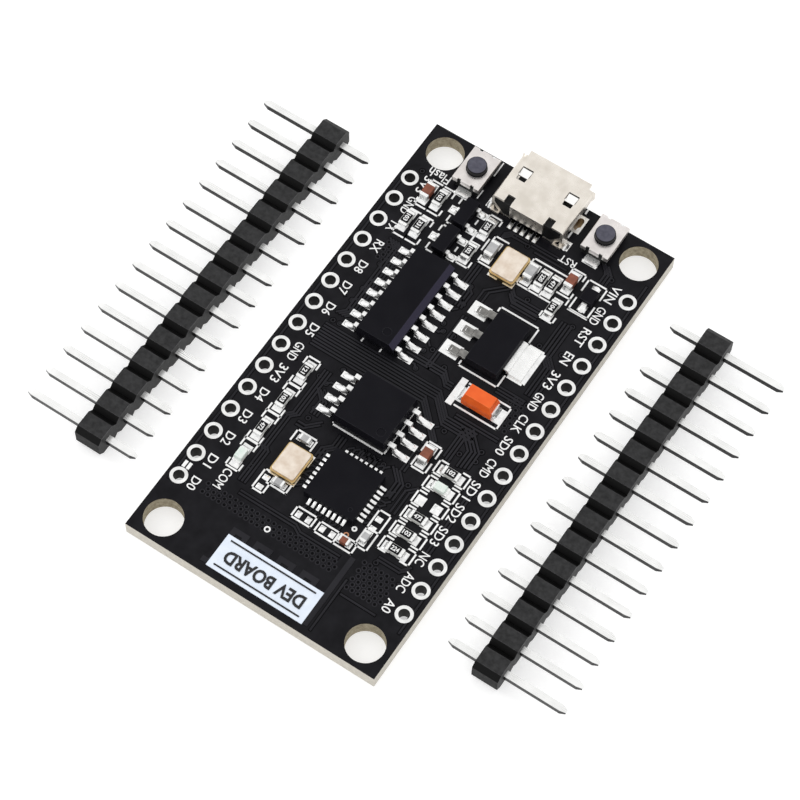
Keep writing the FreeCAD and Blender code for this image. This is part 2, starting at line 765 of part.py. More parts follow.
def make_usb_inside(shell):
    """The insulator with its tongue, and the five contacts with their tails."""
    wall, rear = size("usb_wall"), number(USB_REAR)
    core_front = rear + size("usb_core_length")
    core = usb_loft(rear, -wall, core_front, -wall)
    half, thick = size("usb_tongue_width") / 2, size("usb_tongue_thickness")
    base = number("board_thickness + usb_tongue_height")
    front = core_front + size("usb_tongue_length")
    tongue = brick(-half, half, core_front, front, base, base + thick)
    insulator = core.fuse(tongue).cut(shell)
    contacts = []
    t, w = size("usb_contact_thickness"), size("usb_contact_width") / 2
    reach, margin = size("usb_tail_reach"), size("usb_contact_land_margin")
    foot_back = rear - reach
    foot = number(LAND_TOP)
    bend = rear + size("usb_contact_bend")
    count = int(size("usb_contact_count"))
    for i in range(count):
        x = (i - (count - 1) / 2) * size("usb_contact_pitch")
        bar = brick(x - w, x + w, bend, front - size("usb_contact_setback"), base - t, base)
        riser = brick(x - w, x + w, bend, bend + t, foot, base)
        tail = brick(x - w, x + w, foot_back, bend, foot, foot + t)
        contacts.append(bar.fuse([riser, tail]).removeSplitter())
        add_land(x, foot_back + reach / 2 - 2 * margin, 2 * (w + margin), reach + 2 * margin)
    insulator = insulator.cut(contacts)
    keep(group("usb_insulator", insulator.Solids))
    keep(group("usb_contacts", contacts))


# ---------------------------------------------------------------- push buttons


def make_button(name):
    """A surface-mount push button: moulded base, steel cover, dome, plunger and terminals."""
    x, y = name + "_x", f"board_length / 2 - {name}_from_end"
    rest = LAND_TOP
    wall = "button_cover_wall"
    # base: a moulded block with a round well for the dome and the plunger's flange
    base = new_body(name + "_base")
    outline = new_sketch(base, name + "_base_outline")
    add_rectangle(outline, f"button_width - 2 * {wall}", f"button_length - 2 * {wall}")
    pad(base, outline, name + "_base_pad", "button_base_height")
    well = new_sketch(base, name + "_well", height="button_base_height")
    add_circle(well, WELL_RADIUS)
    pocket(base, well, name + "_well_pocket", "button_base_height - button_floor")
    place(base, x, y, rest)
    # cover: a drawn steel cap, round hole for the plunger
    cover = new_body(name + "_cover")
    outline = new_sketch(cover, name + "_cover_outline")
    add_rectangle(outline, "button_width", "button_length")
    cap = pad(cover, outline, name + "_cover_pad", "button_cover_height - button_skirt_gap")
    top_round = round_edges(cover, cap, name + "_cover_round", "button_edge_round", at_top(cap))
    inside = new_sketch(cover, name + "_cover_inside")
    add_rectangle(inside, f"button_width - 2 * {wall}", f"button_length - 2 * {wall}")
    pocket(cover, inside, name + "_cover_hollow", f"button_cover_height - button_skirt_gap - {wall}", up=True)
    bore = new_sketch(cover, name + "_cover_bore", height="button_cover_height")
    add_circle(bore, "button_plunger_diameter / 2 + button_plunger_clearance")
    pocket(cover, bore, name + "_cover_hole")
    ears = new_sketch(cover, name + "_cover_ears", height="button_cover_height")
    for i, (sx, sy) in enumerate([(-1, -1), (1, -1), (-1, 1), (1, 1)]):
        ear_x = f"{sx} * (button_ear_gap + button_ear_width / 2)"
        ear_y = f"{sy} * (button_length / 2 - button_ear_depth / 2 + button_ear_overcut)"
        ear_depth = "button_ear_depth + 2 * button_ear_overcut"
        add_rectangle(ears, "button_ear_width", ear_depth, ear_x, ear_y, f"e{i}")
    pocket(cover, ears, name + "_cover_ear_notches")
    place(cover, x, y, f"{rest} + button_skirt_gap")
    # plunger: a round stem over a wider flange, kept in by the cover
    plunger = new_body(name + "_plunger")
    profile = new_sketch(plunger, name + "_plunger_profile", "XZ_Plane")
    stem = "button_plunger_diameter / 2"
    flange_top = f"button_cover_height - {wall} - button_flange_gap"
    flange_low = f"{flange_top} - button_flange_height"
    points = [("0", flange_low), (f"{stem} + button_plunger_flange", flange_low)]
    points += [(f"{stem} + button_plunger_flange", flange_top), (stem, flange_top)]
    points += [(stem, "button_plunger_top"), ("0", "button_plunger_top")]
    add_outline(profile, points)
    turned = plunger.newObject("PartDesign::Revolution", name + "_plunger_turned")
    turned.Profile = profile
    turned.ReferenceAxis = (profile, ["V_Axis"])
    turned.Angle = FULL_TURN
    doc.recompute()
    round_edges(plunger, turned, name + "_plunger_round", "button_edge_round", at_top(turned))
    place(plunger, x, y, rest)
    # dome: the sprung disc under the plunger, a shallow cone frustum of thin steel
    dome = new_body(name + "_dome")
    profile = new_sketch(dome, name + "_dome_profile", "XZ_Plane")
    rim = WELL_RADIUS + " - button_dome_gap"
    crown = "button_dome_crown"
    floor = "button_floor"
    rise = "button_floor + button_dome_rise"
    points = [("0", f"{rise} - button_dome_thickness"), (crown, f"{rise} - button_dome_thickness")]
    points += [(rim, floor), (rim, f"{floor} + button_dome_thickness"), (crown, rise), ("0", rise)]
    add_outline(profile, points)
    spun = dome.newObject("PartDesign::Revolution", name + "_dome_spun")
    spun.Profile = profile
    spun.ReferenceAxis = (profile, ["V_Axis"])
    spun.Angle = FULL_TURN
    place(dome, x, y, rest)
    # terminals: two straps under the base's ends
    reach, thick = size("button_terminal_reach"), size("button_terminal_thickness")
    half, wide = size("button_length") / 2, size("button_terminal_width") / 2
    low = number(rest)
    skin = size("button_cover_wall")
    land_width, land_length = 2 * (wide + size("button_land_side")), reach + 2 * size("button_land_end")
    cx, cy = size(x), number(y)
    straps = []
    for side in (-1, 1):
        inner, outer = cy + side * (half - skin), cy + side * (half + reach)
        strap = brick(cx - wide, cx + wide, inner, outer, low, low + thick)
        straps.append(strap)
        add_land(cx, cy + side * (half + reach / 2), land_width, land_length)
    terminals = group(name + "_terminals", straps)
    keep(base, cover, plunger, dome, terminals)


# ---------------------------------------------------------------- moulded chips and their leads


def moulded(label, width, length, height, standoff, x, y, bevel=None, dimple=None, parting=None):
    """A moulded package: its sides lean in above and below a parting line, by default at mid height."""
    body = new_body(label)
    parting = parting or f"({height}) / 2"
    waist = new_sketch(body, label + "_waist", height=parting)
    add_rectangle(waist, width, length)
    pad(body, waist, label + "_upper", f"{height} - ({parting})", "-chip_draft")
    waist_again = new_sketch(body, label + "_waist_low", height=parting)
    add_rectangle(waist_again, width, length)
    last = pad(body, waist_again, label + "_lower", parting, "-chip_draft", down=True)
    if bevel:
        chamfer = body.newObject("PartDesign::Chamfer", label + "_bevel")
        right = last.Shape.BoundBox.XMax
        top = last.Shape.BoundBox.ZMax

        def on_bevel(edge):
            box = edge.BoundBox
            return box.ZMin > top - TOUCH and box.XMin > right / 2

        chamfer.Base = (last, edges(last, on_bevel))
        bind(chamfer, "Size", bevel)
        doc.recompute()
        last = chamfer
    if dimple:
        mark = new_sketch(body, label + "_mark", height=height)
        add_circle(mark, dimple[2], dimple[0], dimple[1])
        pocket(body, mark, label + "_dimple", "chip_dimple_depth")
    place(body, x, y, f"{LAND_TOP} + {standoff}")
    keep(body)
    return body


def gull_lead(name, reach, foot, height, thickness, width):
    """One bent lead, its root at the origin and its foot out along +X, as a hidden prototype body."""
    body = new_body(name)
    profile = new_sketch(body, name + "_profile", "XZ_Plane")
    bend_in = f"{reach} - {foot} - {thickness}"
    bend_out = f"{reach} - {foot}"
    points = [("0", height), (bend_in, height), (bend_in, "0"), (reach, "0"), (reach, thickness)]
    points += [(bend_out, thickness), (bend_out, f"{height} + {thickness}"), ("0", f"{height} + {thickness}")]
    add_outline(profile, points)
    solid = pad(body, profile, name + "_pad", width, middle=True)
    radius = f"min({thickness} * lead_bend_share; ({bend_in}) * lead_bend_room)"
    round_edges(body, solid, name + "_bends", radius, is_bend)
    return body


def is_bend(edge):
    """Does the edge run across a lead, away from its root?"""
    return edge.BoundBox.YLength > TOUCH and edge.BoundBox.XMin > TOUCH


def leads_of(label, prototype, x, y, offsets, root, reach, toe):
    """Leads down both long sides of a chip, with their lands."""
    shapes = []
    low = number(LAND_TOP)
    outer, heel = root + reach + toe, root + reach - size("lead_foot") - size("lead_land_heel")
    width = size("lead_width") + 2 * size("lead_land_side")
    for side in (-1, 1):
        for offset in offsets:
            turn = 0.0 if side > 0 else HALF_TURN
            shapes.append(shape_at(prototype.Shape, x + side * root, y + offset, low, turn))
            add_land(x + side * (outer + heel) / 2, y + offset, outer - heel, width)
    keep(group(label, shapes))


def centred(count, pitch):
    """Offsets of a row of that many things about its middle."""
    return [(i - (count - 1) / 2) * pitch for i in range(count)]


def make_gull_chips():
    """The USB-serial chip and the flash memory."""
    lift, radius = "chip_standoff", "chip_dimple_diameter / 2"
    dimple_y = "-(usb_chip_length / 2 - usb_chip_dimple_from_end)"
    moulded(
        "usb_chip_body", "usb_chip_width", "usb_chip_length", "usb_chip_height - chip_standoff", lift,
        "usb_chip_x", "usb_chip_y", bevel="usb_chip_bevel", dimple=("usb_chip_dimple_x", dimple_y, radius),
    )
    dimple_x, dimple_y = "memory_width / 2 - memory_dimple_inset", "-(memory_length / 2 - memory_dimple_inset)"
    moulded(
        "memory_chip_body", "memory_width", "memory_length", "memory_height - chip_standoff", lift,
        "memory_x", "memory_y", dimple=(dimple_x, dimple_y, radius),
    )
    for chip, node, count in (("usb_chip", "usb_chip_leads", 8), ("memory", "memory_chip_leads", 4)):
        span, width = f"{chip}_span", f"{chip}_width"
        reach = f"({span} - {width}) / 2"
        height = f"chip_standoff + ({chip}_height - chip_standoff) / 2 - lead_thickness / 2"
        lead = gull_lead(node + "_prototype", reach, "lead_foot", height, "lead_thickness", "lead_width")
        offsets = centred(count, size("lead_pitch"))
        x, y = size(chip + "_x"), size(chip + "_y")
        leads_of(node, lead, x, y, offsets, size(width) / 2, number(reach), size(f"{chip}_land_toe"))


def make_wifi_chip():
    """The leadless wireless chip: body, edge pads and the thermal pad under it."""
    x, y, half = size("wifi_x"), size("wifi_y"), size("wifi_size") / 2
    low, high = number(LAND_TOP), size("wifi_pad_height")
    count, pitch = int(size("wifi_pads_per_side")), size("wifi_pitch")
    wide, long = size("wifi_pad_width") / 2, size("wifi_pad_length")
    pads = []
    reach, land_width = size("wifi_land_reach"), 2 * (wide + size("wifi_land_side"))
    for offset in centred(count, pitch):
        for side in (-1, 1):
            edge, inner = side * half, side * (half - long)
            pads.append(brick(x + inner, x + edge, y + offset - wide, y + offset + wide, low, low + high))
            pads.append(brick(x + offset - wide, x + offset + wide, y + inner, y + edge, low, low + high))
            middle, length = side * (half - long + reach) / 2, reach - half + long
            add_land(x + middle, y + offset, length, land_width)
            add_land(x + offset, y + middle, land_width, length)
    thermal = size("wifi_thermal_size") / 2
    pads.append(brick(x - thermal, x + thermal, y - thermal, y + thermal, low, low + high))
    add_land(x, y, 2 * thermal, 2 * thermal)
    body = new_body("wifi_chip_block")
    sketch = new_sketch(body, "wifi_chip_outline")
    add_rectangle(sketch, "wifi_size", "wifi_size")
    solid = pad(body, sketch, "wifi_chip_pad", "wifi_height")
    rounded = round_edges(body, solid, "wifi_chip_round", "body_edge_round", at_top(solid))
    mark = new_sketch(body, "wifi_chip_mark", height="wifi_height")
    corner = "(wifi_size / 2 - wifi_dot_inset)"
    add_circle(mark, "wifi_dot_diameter / 2", corner, "-" + corner)
    pocket(body, mark, "wifi_chip_dimple", "chip_dimple_depth")
    place(body, "wifi_x", "wifi_y", LAND_TOP)
    doc.recompute()
    keep(group("wifi_chip_body", [body.Shape.cut(pads)]))
    keep(group("wifi_chip_pads", pads))


def make_crystal(name):
    """A crystal: ceramic base with a seam-welded metal lid."""
    base = new_body(name + "_base")
    sketch = new_sketch(base, name + "_base_outline")
    add_rectangle(sketch, "crystal_width", "crystal_length")
    solid = pad(base, sketch, name + "_base_pad", "crystal_base_height")
    round_edges(base, solid, name + "_base_round", "crystal_corner", is_upright)
    place(base, name + "_x", name + "_y", LAND_TOP)
    lid = new_body(name + "_lid")
    sketch = new_sketch(lid, name + "_lid_outline")
    inset = "2 * crystal_lid_inset"
    add_rectangle(sketch, f"crystal_width - {inset}", f"crystal_length - {inset}")
    solid = pad(lid, sketch, name + "_lid_pad", "crystal_lid_height")
    corners = round_edges(lid, solid, name + "_lid_corners", "crystal_corner", is_upright)
    round_edges(lid, corners, name + "_lid_edge", "body_edge_round", at_top(corners))
    place(lid, name + "_x", name + "_y", f"{LAND_TOP} + crystal_base_height")
    keep(base, lid)
    x, y = size(name + "_x"), size(name + "_y")
    width, length = size("crystal_land_width"), size("crystal_land_length")
    across = number("crystal_width / 2 + crystal_land_side - crystal_land_width / 2")
    along = number("crystal_length / 2 + crystal_land_end - crystal_land_length / 2")
    for sx in (-1, 1):
        for sy in (-1, 1):
            add_land(x + sx * across, y + sy * along, width, length)


# ---------------------------------------------------------------- regulator, transistors, diode, tantalum


def make_regulator():
    """The voltage regulator: three leads on its left and a wide cooling tab on its right."""
    moulded(
        "regulator_body", "regulator_width", "regulator_length", "regulator_height - chip_standoff",
        "chip_standoff", "regulator_x", "regulator_y",
        parting="regulator_lead_height + regulator_lead_thickness / 2 - chip_standoff",
    )
    reach = "(regulator_span - regulator_width) / 2"
    height, thick = "regulator_lead_height", "regulator_lead_thickness"
    lead_foot, tab_foot = "regulator_foot", "regulator_tab_foot"
    lead = gull_lead("regulator_lead_prototype", reach, lead_foot, height, thick, "regulator_lead_width")
    tab = gull_lead("regulator_tab_prototype", reach, tab_foot, height, thick, "regulator_tab_width")
    x, y, low = size("regulator_x"), size("regulator_y"), number(LAND_TOP)
    root = size("regulator_width") / 2
    toe = root + number(reach)
    length, width = size("regulator_land_length"), size("regulator_land_width")
    lead_x = toe + size("regulator_land_toe") - length / 2
    shapes = []
    for offset in centred(3, size("regulator_lead_pitch")):
        shapes.append(shape_at(lead.Shape, x - root, y + offset, low, HALF_TURN))
        add_land(x - lead_x, y + offset, length, width)
    keep(group("regulator_leads", shapes))
    keep(group("regulator_tab", [shape_at(tab.Shape, x + root, y, low)]))
    length = size("regulator_tab_land_length")
    tab_x = toe + size("regulator_tab_land_toe") - length / 2
    add_land(x + tab_x, y, length, size("regulator_tab_land_width"))


def make_transistors():
    """Two small three-lead transistors that reset the board for programming."""
    names = ("upper_transistor", "lower_transistor")
    reach = "(transistor_span - transistor_width) / 2"
    height = "transistor_height / 2 - transistor_lead_thickness / 2"
    thick = "transistor_lead_thickness"
    width = "transistor_lead_width"
    lead = gull_lead("transistor_lead_prototype", reach, "transistor_foot", height, thick, width)
    low, root = number(LAND_TOP), size("transistor_width") / 2
    away, length = root + size("transistor_land_offset"), size("transistor_land_length")
    shapes = []
    for name in names:
        moulded(
            name + "_body", "transistor_width", "transistor_length", "transistor_height - transistor_standoff",
            "transistor_standoff", name + "_x", name + "_y",
        )
        x, y = size(name + "_x"), size(name + "_y")
        shapes.append(shape_at(lead.Shape, x - root, y, low, HALF_TURN))
        add_land(x - away, y, length, size("transistor_single_land_width"))
        for offset in centred(2, size("transistor_lead_pitch")):
            shapes.append(shape_at(lead.Shape, x + root, y + offset, low))
            add_land(x + away, y + offset, length, size("transistor_land_width"))
    keep(group("transistor_leads", shapes))


def make_diode():
    """The input protection diode."""
    moulded(
        "diode_body", "diode_width", "diode_length", "diode_height - transistor_standoff",
        "transistor_standoff", "diode_x", "diode_y",
    )
    reach = "(diode_span - diode_length) / 2"
    height = "diode_height / 2 - transistor_lead_thickness / 2"
    thick = "transistor_lead_thickness"
    lead = gull_lead("diode_lead_prototype", reach, "diode_foot", height, thick, "diode_lead_width")
    x, y, low, root = size("diode_x"), size("diode_y"), number(LAND_TOP), size("diode_length") / 2
    away, land = root + size("diode_land_offset"), size("diode_land_size")
    shapes = []
    for side in (-1, 1):
        shapes.append(shape_at(lead.Shape, x, y + side * root, low, side * QUARTER_TURN))
        add_land(x, y + side * away, land, land)
    keep(group("diode_leads", shapes))


def make_tantalum():
    """The moulded tantalum capacitor with terminals folded under its ends."""
    body = new_body("tantalum_body")
    thick = "tantalum_terminal_thickness"
    waist = new_sketch(body, "tantalum_waist", height="tantalum_terminal_height")
    add_rectangle(waist, f"tantalum_length - 2 * {thick}", "tantalum_width")
    pad(body, waist, "tantalum_upper", "tantalum_height - tantalum_terminal_height", "-tantalum_draft")
    low = new_sketch(body, "tantalum_low", height="tantalum_terminal_height")
    add_rectangle(low, f"tantalum_length - 2 * {thick}", "tantalum_width")
    pad(body, low, "tantalum_lower", f"tantalum_terminal_height - {thick}", down=True)
    place(body, "tantalum_x", "tantalum_y", LAND_TOP)
    keep(body)
    x, y, base = size("tantalum_x"), size("tantalum_y"), number(LAND_TOP)
    t, half = size(thick), size("tantalum_length") / 2
    w, tall = size("tantalum_terminal_width") / 2, size("tantalum_terminal_height")
    under = size("tantalum_sole")
    land = (size("tantalum_land_length"), size("tantalum_land_width"))
    shapes = []
    for side in (-1, 1):
        end = x + side * half
        upright = brick(end - side * t, end, y - w, y + w, base, base + tall)
        sole = brick(end - side * under, end, y - w, y + w, base, base + t)
        shapes.append(upright.fuse(sole).removeSplitter())
        add_land(end - side * size("tantalum_land_shift"), y, *land)
    keep(group("tantalum_terminals", shapes))


# ---------------------------------------------------------------- two-terminal chips


def chip_prototype(name, length, width, height, cap):
    """A ceramic block and one end cap, the block along X about the origin, as hidden prototypes."""
    core = block(name + "_core", f"{length} - 2 * {cap}", width, height)
    end = new_body(name + "_end")
    sketch = new_sketch(end, name + "_end_outline")
    add_rectangle(sketch, cap, width, f"({length} - {cap}) / 2", "0")
    solid = pad(end, sketch, name + "_end_pad", height)
    right = solid.Shape.BoundBox.XMax

    def outside(edge):
        return edge.BoundBox.XMin > right - TOUCH and edge.BoundBox.ZMax > TOUCH

    round_edges(end, solid, name + "_end_round", "body_edge_round", outside)
    doc.recompute()
    return core.Shape, end.Shape


def spread(core, end, table, cores, ends, land):
    """Copies of one prototype at each place of a table, with their lands."""
    low = number(LAND_TOP)
    length, width, gap = land
    for name in table:
        x, y, turn = size(name + "_x"), size(name + "_y"), size(name + "_turn")
        if core is not None:
            cores.append(shape_at(core, x, y, low, turn))
            ends.append(shape_at(end, x, y, low, turn))
            ends.append(shape_at(end, x, y, low, turn + HALF_TURN))
        for side in (-1, 1):
            away = side * (gap + length) / 2
            if turn == QUARTER_TURN:
                add_land(x, y + away, width, length)
            else:
                add_land(x + away, y, length, width)


def make_two_terminal_chips():
    """Resistors, ceramic capacitors, light-emitting diodes and the empty footprints."""
    wide = number("chip_width + 2 * chip_land_side")
    small_wide = number("capacitor_small_width + 2 * small_land_side")
    land = (size("chip_land_length"), wide, size("chip_land_gap"))
    small_land = (size("small_land_length"), small_wide, size("small_land_gap"))
    big = ("chip_length", "chip_width")
    core, end = chip_prototype("resistor", *big, "resistor_height", "chip_cap_length")
    cores, ends, coats = [], [], []
    spread(core, end, RESISTORS, cores, ends, land)
    coat = block(
        "resistor_coat", "chip_length - 2 * chip_cap_length", "chip_width - 2 * resistor_coat_margin",
        "resistor_coat_height", z="resistor_height",
    )
    doc.recompute()
    for name in RESISTORS:
        x, y, turn = size(name + "_x"), size(name + "_y"), size(name + "_turn")
        coats.append(shape_at(coat.Shape, x, y, number(LAND_TOP), turn))
    keep(group("resistor_bodies", cores), group("resistor_end_caps", ends), group("resistor_coats", coats))
    tall = chip_prototype("capacitor", *big, "capacitor_height", "chip_cap_length")
    short_sizes = ("capacitor_small_length", "capacitor_small_width")
    short = chip_prototype("small_capacitor", *short_sizes, "capacitor_small_height", "capacitor_small_cap")
    for colour, table, small in (
        ("brown", BROWN_CAPACITORS, SMALL_BROWN_CAPACITORS), ("grey", GREY_CAPACITORS, SMALL_GREY_CAPACITORS),
    ):
        cores, ends = [], []
        spread(*tall, table, cores, ends, land)
        spread(*short, small, cores, ends, small_land)
        keep(group(f"{colour}_capacitor_bodies", cores), group(f"{colour}_capacitor_end_caps", ends))
    core, end = chip_prototype("led", *big, "led_base_height", "chip_cap_length")
    cores, ends, lenses = [], [], []
    spread(core, end, LEDS, cores, ends, land)
    lens = new_body("led_lens")
    sketch = new_sketch(lens, "led_lens_outline", height="led_base_height")
    add_rectangle(sketch, "led_lens_length", "chip_width")
    pad(lens, sketch, "led_lens_pad", "led_lens_height", "-chip_draft")
    doc.recompute()
    for name in LEDS:
        x, y, turn = size(name + "_x"), size(name + "_y"), size(name + "_turn")
        lenses.append(shape_at(lens.Shape, x, y, number(LAND_TOP), turn))
    keep(group("led_bases", cores), group("led_end_caps", ends), group("led_lenses", lenses))
    spread(None, None, EMPTY_FOOTPRINTS, [], [], land)
    spread(None, None, SMALL_EMPTY_FOOTPRINTS, [], [], small_land)


# ---------------------------------------------------------------- antenna and lands


def make_antenna():
    """The printed meander antenna: a feed line, then bars joined at alternate ends."""
    wide = size("antenna_width") / 2
    low, high = size("board_thickness"), number(LAND_TOP)
    top = -number("board_length / 2 - antenna_top_from_end")
    bottom = -number("board_length / 2 - antenna_bottom_from_end")
    start = -number("board_length / 2 - antenna_feed_from_end")
    feed = size("antenna_feed_x")
    strokes = [brick(feed - wide, feed + wide, bottom - wide, start, low, high)]
    bars = int(size("antenna_bars"))
    xs = [size("antenna_first_x") - i * size("antenna_step") for i in range(bars)]
    strokes.append(brick(xs[0] - wide, feed + wide, bottom - wide, bottom + wide, low, high))
    for i, x in enumerate(xs):
        strokes.append(brick(x - wide, x + wide, bottom - wide, top + wide, low, high))
        if i + 1 < bars:
            y = top if i % 2 == 0 else bottom
            strokes.append(brick(xs[i + 1] - wide, x + wide, y - wide, y + wide, low, high))
    end = xs[-1]
    tail = end - wide - size("antenna_tail")
    strokes.append(brick(tail, end + wide, bottom - wide, bottom + wide, low, high))
    trace = strokes[0].fuse(strokes[1:]).removeSplitter()
    keep(group("antenna_trace", trace.Solids))


def make_lands():
    """All bare lands on the component side; lands that meet are joined."""
    joined = lands[0].fuse(lands[1:]).removeSplitter()
    keep(group("solder_lands", joined.Solids))


# ---------------------------------------------------------------- loose header strips


def make_strip(name, side):
    """One loose 15-pin strip lying on its side, its long pins pointing away from the board."""
    x, y = STRIP_X[name], f"{name}_strip_y"
    housing = new_body(f"{name}_header_housing")
    cell = new_sketch(housing, name + "_cell", "YZ_Plane")
    half, tall, cut = "pin_pitch / 2", "strip_cell_height", "strip_cell_chamfer"
    points = [(f"-{half} + {cut}", "0"), (f"{half} - {cut}", "0"), (half, cut), (half, f"{tall} - {cut}")]
    points += [(f"{half} - {cut}", tall), (f"-{half} + {cut}", tall)]
    points += [(f"-{half}", f"{tall} - {cut}"), (f"-{half}", cut)]
    add_outline(cell, points, "o")
    add_rectangle(cell, "pin_width", "pin_width", "0", f"{tall} / 2", "h")
    solid = pad(housing, cell, name + "_cell_pad", "strip_depth", middle=True)
    row = housing.newObject("PartDesign::LinearPattern", name + "_cells")
    row.Originals = [solid]
    axis = [f for f in housing.Origin.OriginFeatures if f.Role == "Y_Axis"][0]
    row.Direction = (axis, [""])
    bind(row, "Length", "pin_pitch * (pins_per_row - 1)")
    bind(row, "Occurrences", "pins_per_row")
    housing.Tip = row
    place(housing, x, f"{y} - pin_pitch * (pins_per_row - 1) / 2", "0")
    pin = new_body(f"{name}_header_pin_prototype")
    shaft = new_sketch(pin, name + "_pin_section", "YZ_Plane")
    add_rectangle(shaft, "pin_width", "pin_width")
    whole = "pin_long_side + pin_short_side + strip_depth - 2 * pin_point"
    pad(pin, shaft, name + "_pin_shaft", whole, middle=True)
    doc.recompute()
    solid = pin.Shape
    tip_half, end, sharp = size("pin_point_width") / 2, number(whole) / 2, size("pin_point")
    thick = size("pin_width") / 2
    for way in (-1, 1):
        wires = []
        for along, reach in ((way * end, thick), (way * (end + sharp), tip_half)):
            corners = ((-reach, -reach), (reach, -reach), (reach, reach), (-reach, reach))
            ring = [(along, *corner) for corner in corners]
            corners = [FreeCAD.Vector(*p) for p in ring]
            wires.append(Part.makePolygon(corners + corners[:1]))
        solid = solid.fuse(Part.makeLoft(wires, True, True))
    solid = solid.removeSplitter()
    shift = side * (size("pin_long_side") - size("pin_short_side")) / 2
    pins = []
    for offset in centred(int(size("pins_per_row")), size("pin_pitch")):
        pins.append(shape_at(solid, number(x) + shift, size(y) + offset, size("strip_cell_height") / 2))
    keep(housing, group(f"{name}_header_pins", pins))


def check_all():
    """Stops if any object failed, or a sub-part's shape is missing or not valid."""
    for thing in doc.Objects:
        if "Invalid" in thing.State or "Error" in thing.State:
            raise ValueError(f"{thing.Name} failed: {thing.State}")
    for thing in exported:
        shape = thing.Shape
        if shape.isNull() or not shape.isValid() or not shape.Solids:
            raise ValueError(f"{thing.Label} has no valid solid")


def main():
    """Builds every sub-part and writes it to parts/."""
    make_board()
    make_plating()
    make_usb_inside(make_usb_shell())
    make_button("flash_button")
    make_button("reset_button")
    make_gull_chips()
    make_wifi_chip()
    make_crystal("usb_crystal")
    make_crystal("wifi_crystal")
    make_regulator()
    make_transistors()
    make_diode()
    make_tantalum()
    make_two_terminal_chips()
    make_antenna()
    make_lands()
    make_strip("left", -1)
    make_strip("right", 1)
    doc.recompute()
    check_all()
    os.makedirs("parts", exist_ok=True)
    for thing in exported:
        thing.Shape.exportStep(f"parts/{thing.Label}.step")
        print(thing.Label, len(thing.Shape.Solids), round(thing.Shape.Volume, 4))


main()
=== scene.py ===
import json
import math

import bmesh
import bpy
from bpy.props import FloatProperty, FloatVectorProperty, PointerProperty, StringProperty
from mathutils import Matrix, Vector


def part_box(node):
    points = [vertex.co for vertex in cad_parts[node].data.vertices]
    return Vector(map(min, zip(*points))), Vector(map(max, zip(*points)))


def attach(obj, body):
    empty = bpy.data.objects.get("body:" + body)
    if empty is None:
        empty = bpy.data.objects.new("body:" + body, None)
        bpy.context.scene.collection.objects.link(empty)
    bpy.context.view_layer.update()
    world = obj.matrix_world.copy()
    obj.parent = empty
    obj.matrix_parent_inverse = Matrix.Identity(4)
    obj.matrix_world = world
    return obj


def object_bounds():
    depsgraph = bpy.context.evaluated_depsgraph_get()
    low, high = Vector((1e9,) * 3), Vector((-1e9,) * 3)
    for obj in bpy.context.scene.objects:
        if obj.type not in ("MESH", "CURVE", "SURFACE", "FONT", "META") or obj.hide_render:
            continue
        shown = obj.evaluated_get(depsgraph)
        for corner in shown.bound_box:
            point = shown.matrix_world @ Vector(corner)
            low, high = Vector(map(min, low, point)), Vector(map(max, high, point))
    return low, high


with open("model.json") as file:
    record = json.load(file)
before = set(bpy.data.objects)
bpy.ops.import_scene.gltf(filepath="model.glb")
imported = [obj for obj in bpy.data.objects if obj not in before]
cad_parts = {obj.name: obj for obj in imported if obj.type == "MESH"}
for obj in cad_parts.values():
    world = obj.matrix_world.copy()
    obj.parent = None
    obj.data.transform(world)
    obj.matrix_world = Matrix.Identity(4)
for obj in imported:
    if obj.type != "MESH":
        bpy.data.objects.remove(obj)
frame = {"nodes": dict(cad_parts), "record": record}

bl_info = {
    "name": "Wireless dev board",
    "version": (1, 0, 0),
    "blender": (4, 5, 0),
    "location": "3D View > Sidebar > Dev board",
    "description": "Legend, copper, solder and finishes of a small microcontroller board",
    "category": "Object",
}

MM = 0.001
CAD_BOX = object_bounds()
BOARD_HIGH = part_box("circuit_board")[1]
TOP = BOARD_HIGH.z
UP = Vector((0, 0, 1))
# Millimetres: between pins, from the middle line to a row, and along a side of the wireless chip.
PIN_PITCH, PIN_ROW = 2.54, 11.43
PAD_OFFSETS = [(i - 3.5) * 0.5 for i in range(8)]
MIDDLE_PIN = 7
SINK = 0.005 * MM  # how far solder starts inside what it lies on
READING_DOWN, READING_BACK = -math.pi / 2, math.pi

# Pin names, from the USB end to the antenna end.
LEFT_LABELS = "3V3 GND TX RX D8 D7 D6 D5 GND 3V3 D4 D3 D2 D1 D0".split()
RIGHT_LABELS = "VIN GND RST EN 3V3 GND CLK SD0 CMD SD1 SD2 SD3 NC ADC A0".split()
PART_CODES = "103 472 103 121 331 103 102 220 220 471 104 224 103 472 102".split()


# ---------------------------------------------------------------- sizes and colours a user may change


class LegendSettings(bpy.types.PropertyGroup):
    """Sizes of the printed white legend."""

    line: FloatProperty(
        name="Line width", description="Width of a printed line", default=0.16 * MM, unit="LENGTH",
    )
    ink: FloatProperty(
        name="Ink height", description="How far the ink stands up", default=0.042 * MM, unit="LENGTH",
    )
    cap: FloatProperty(
        name="Letter height", description="Height of a capital", default=0.84 * MM, unit="LENGTH",
    )
    letter: FloatProperty(
        name="Letter step", description="Length that a letter takes", default=0.63 * MM, unit="LENGTH",
    )
    gap: FloatProperty(
        name="Label offset", description="Label's middle from the middle line",
        default=9.95 * MM, unit="LENGTH",
    )
    panel: StringProperty(
        name="Panel words", description="Words on the white panel", default="DEV BOARD",
    )


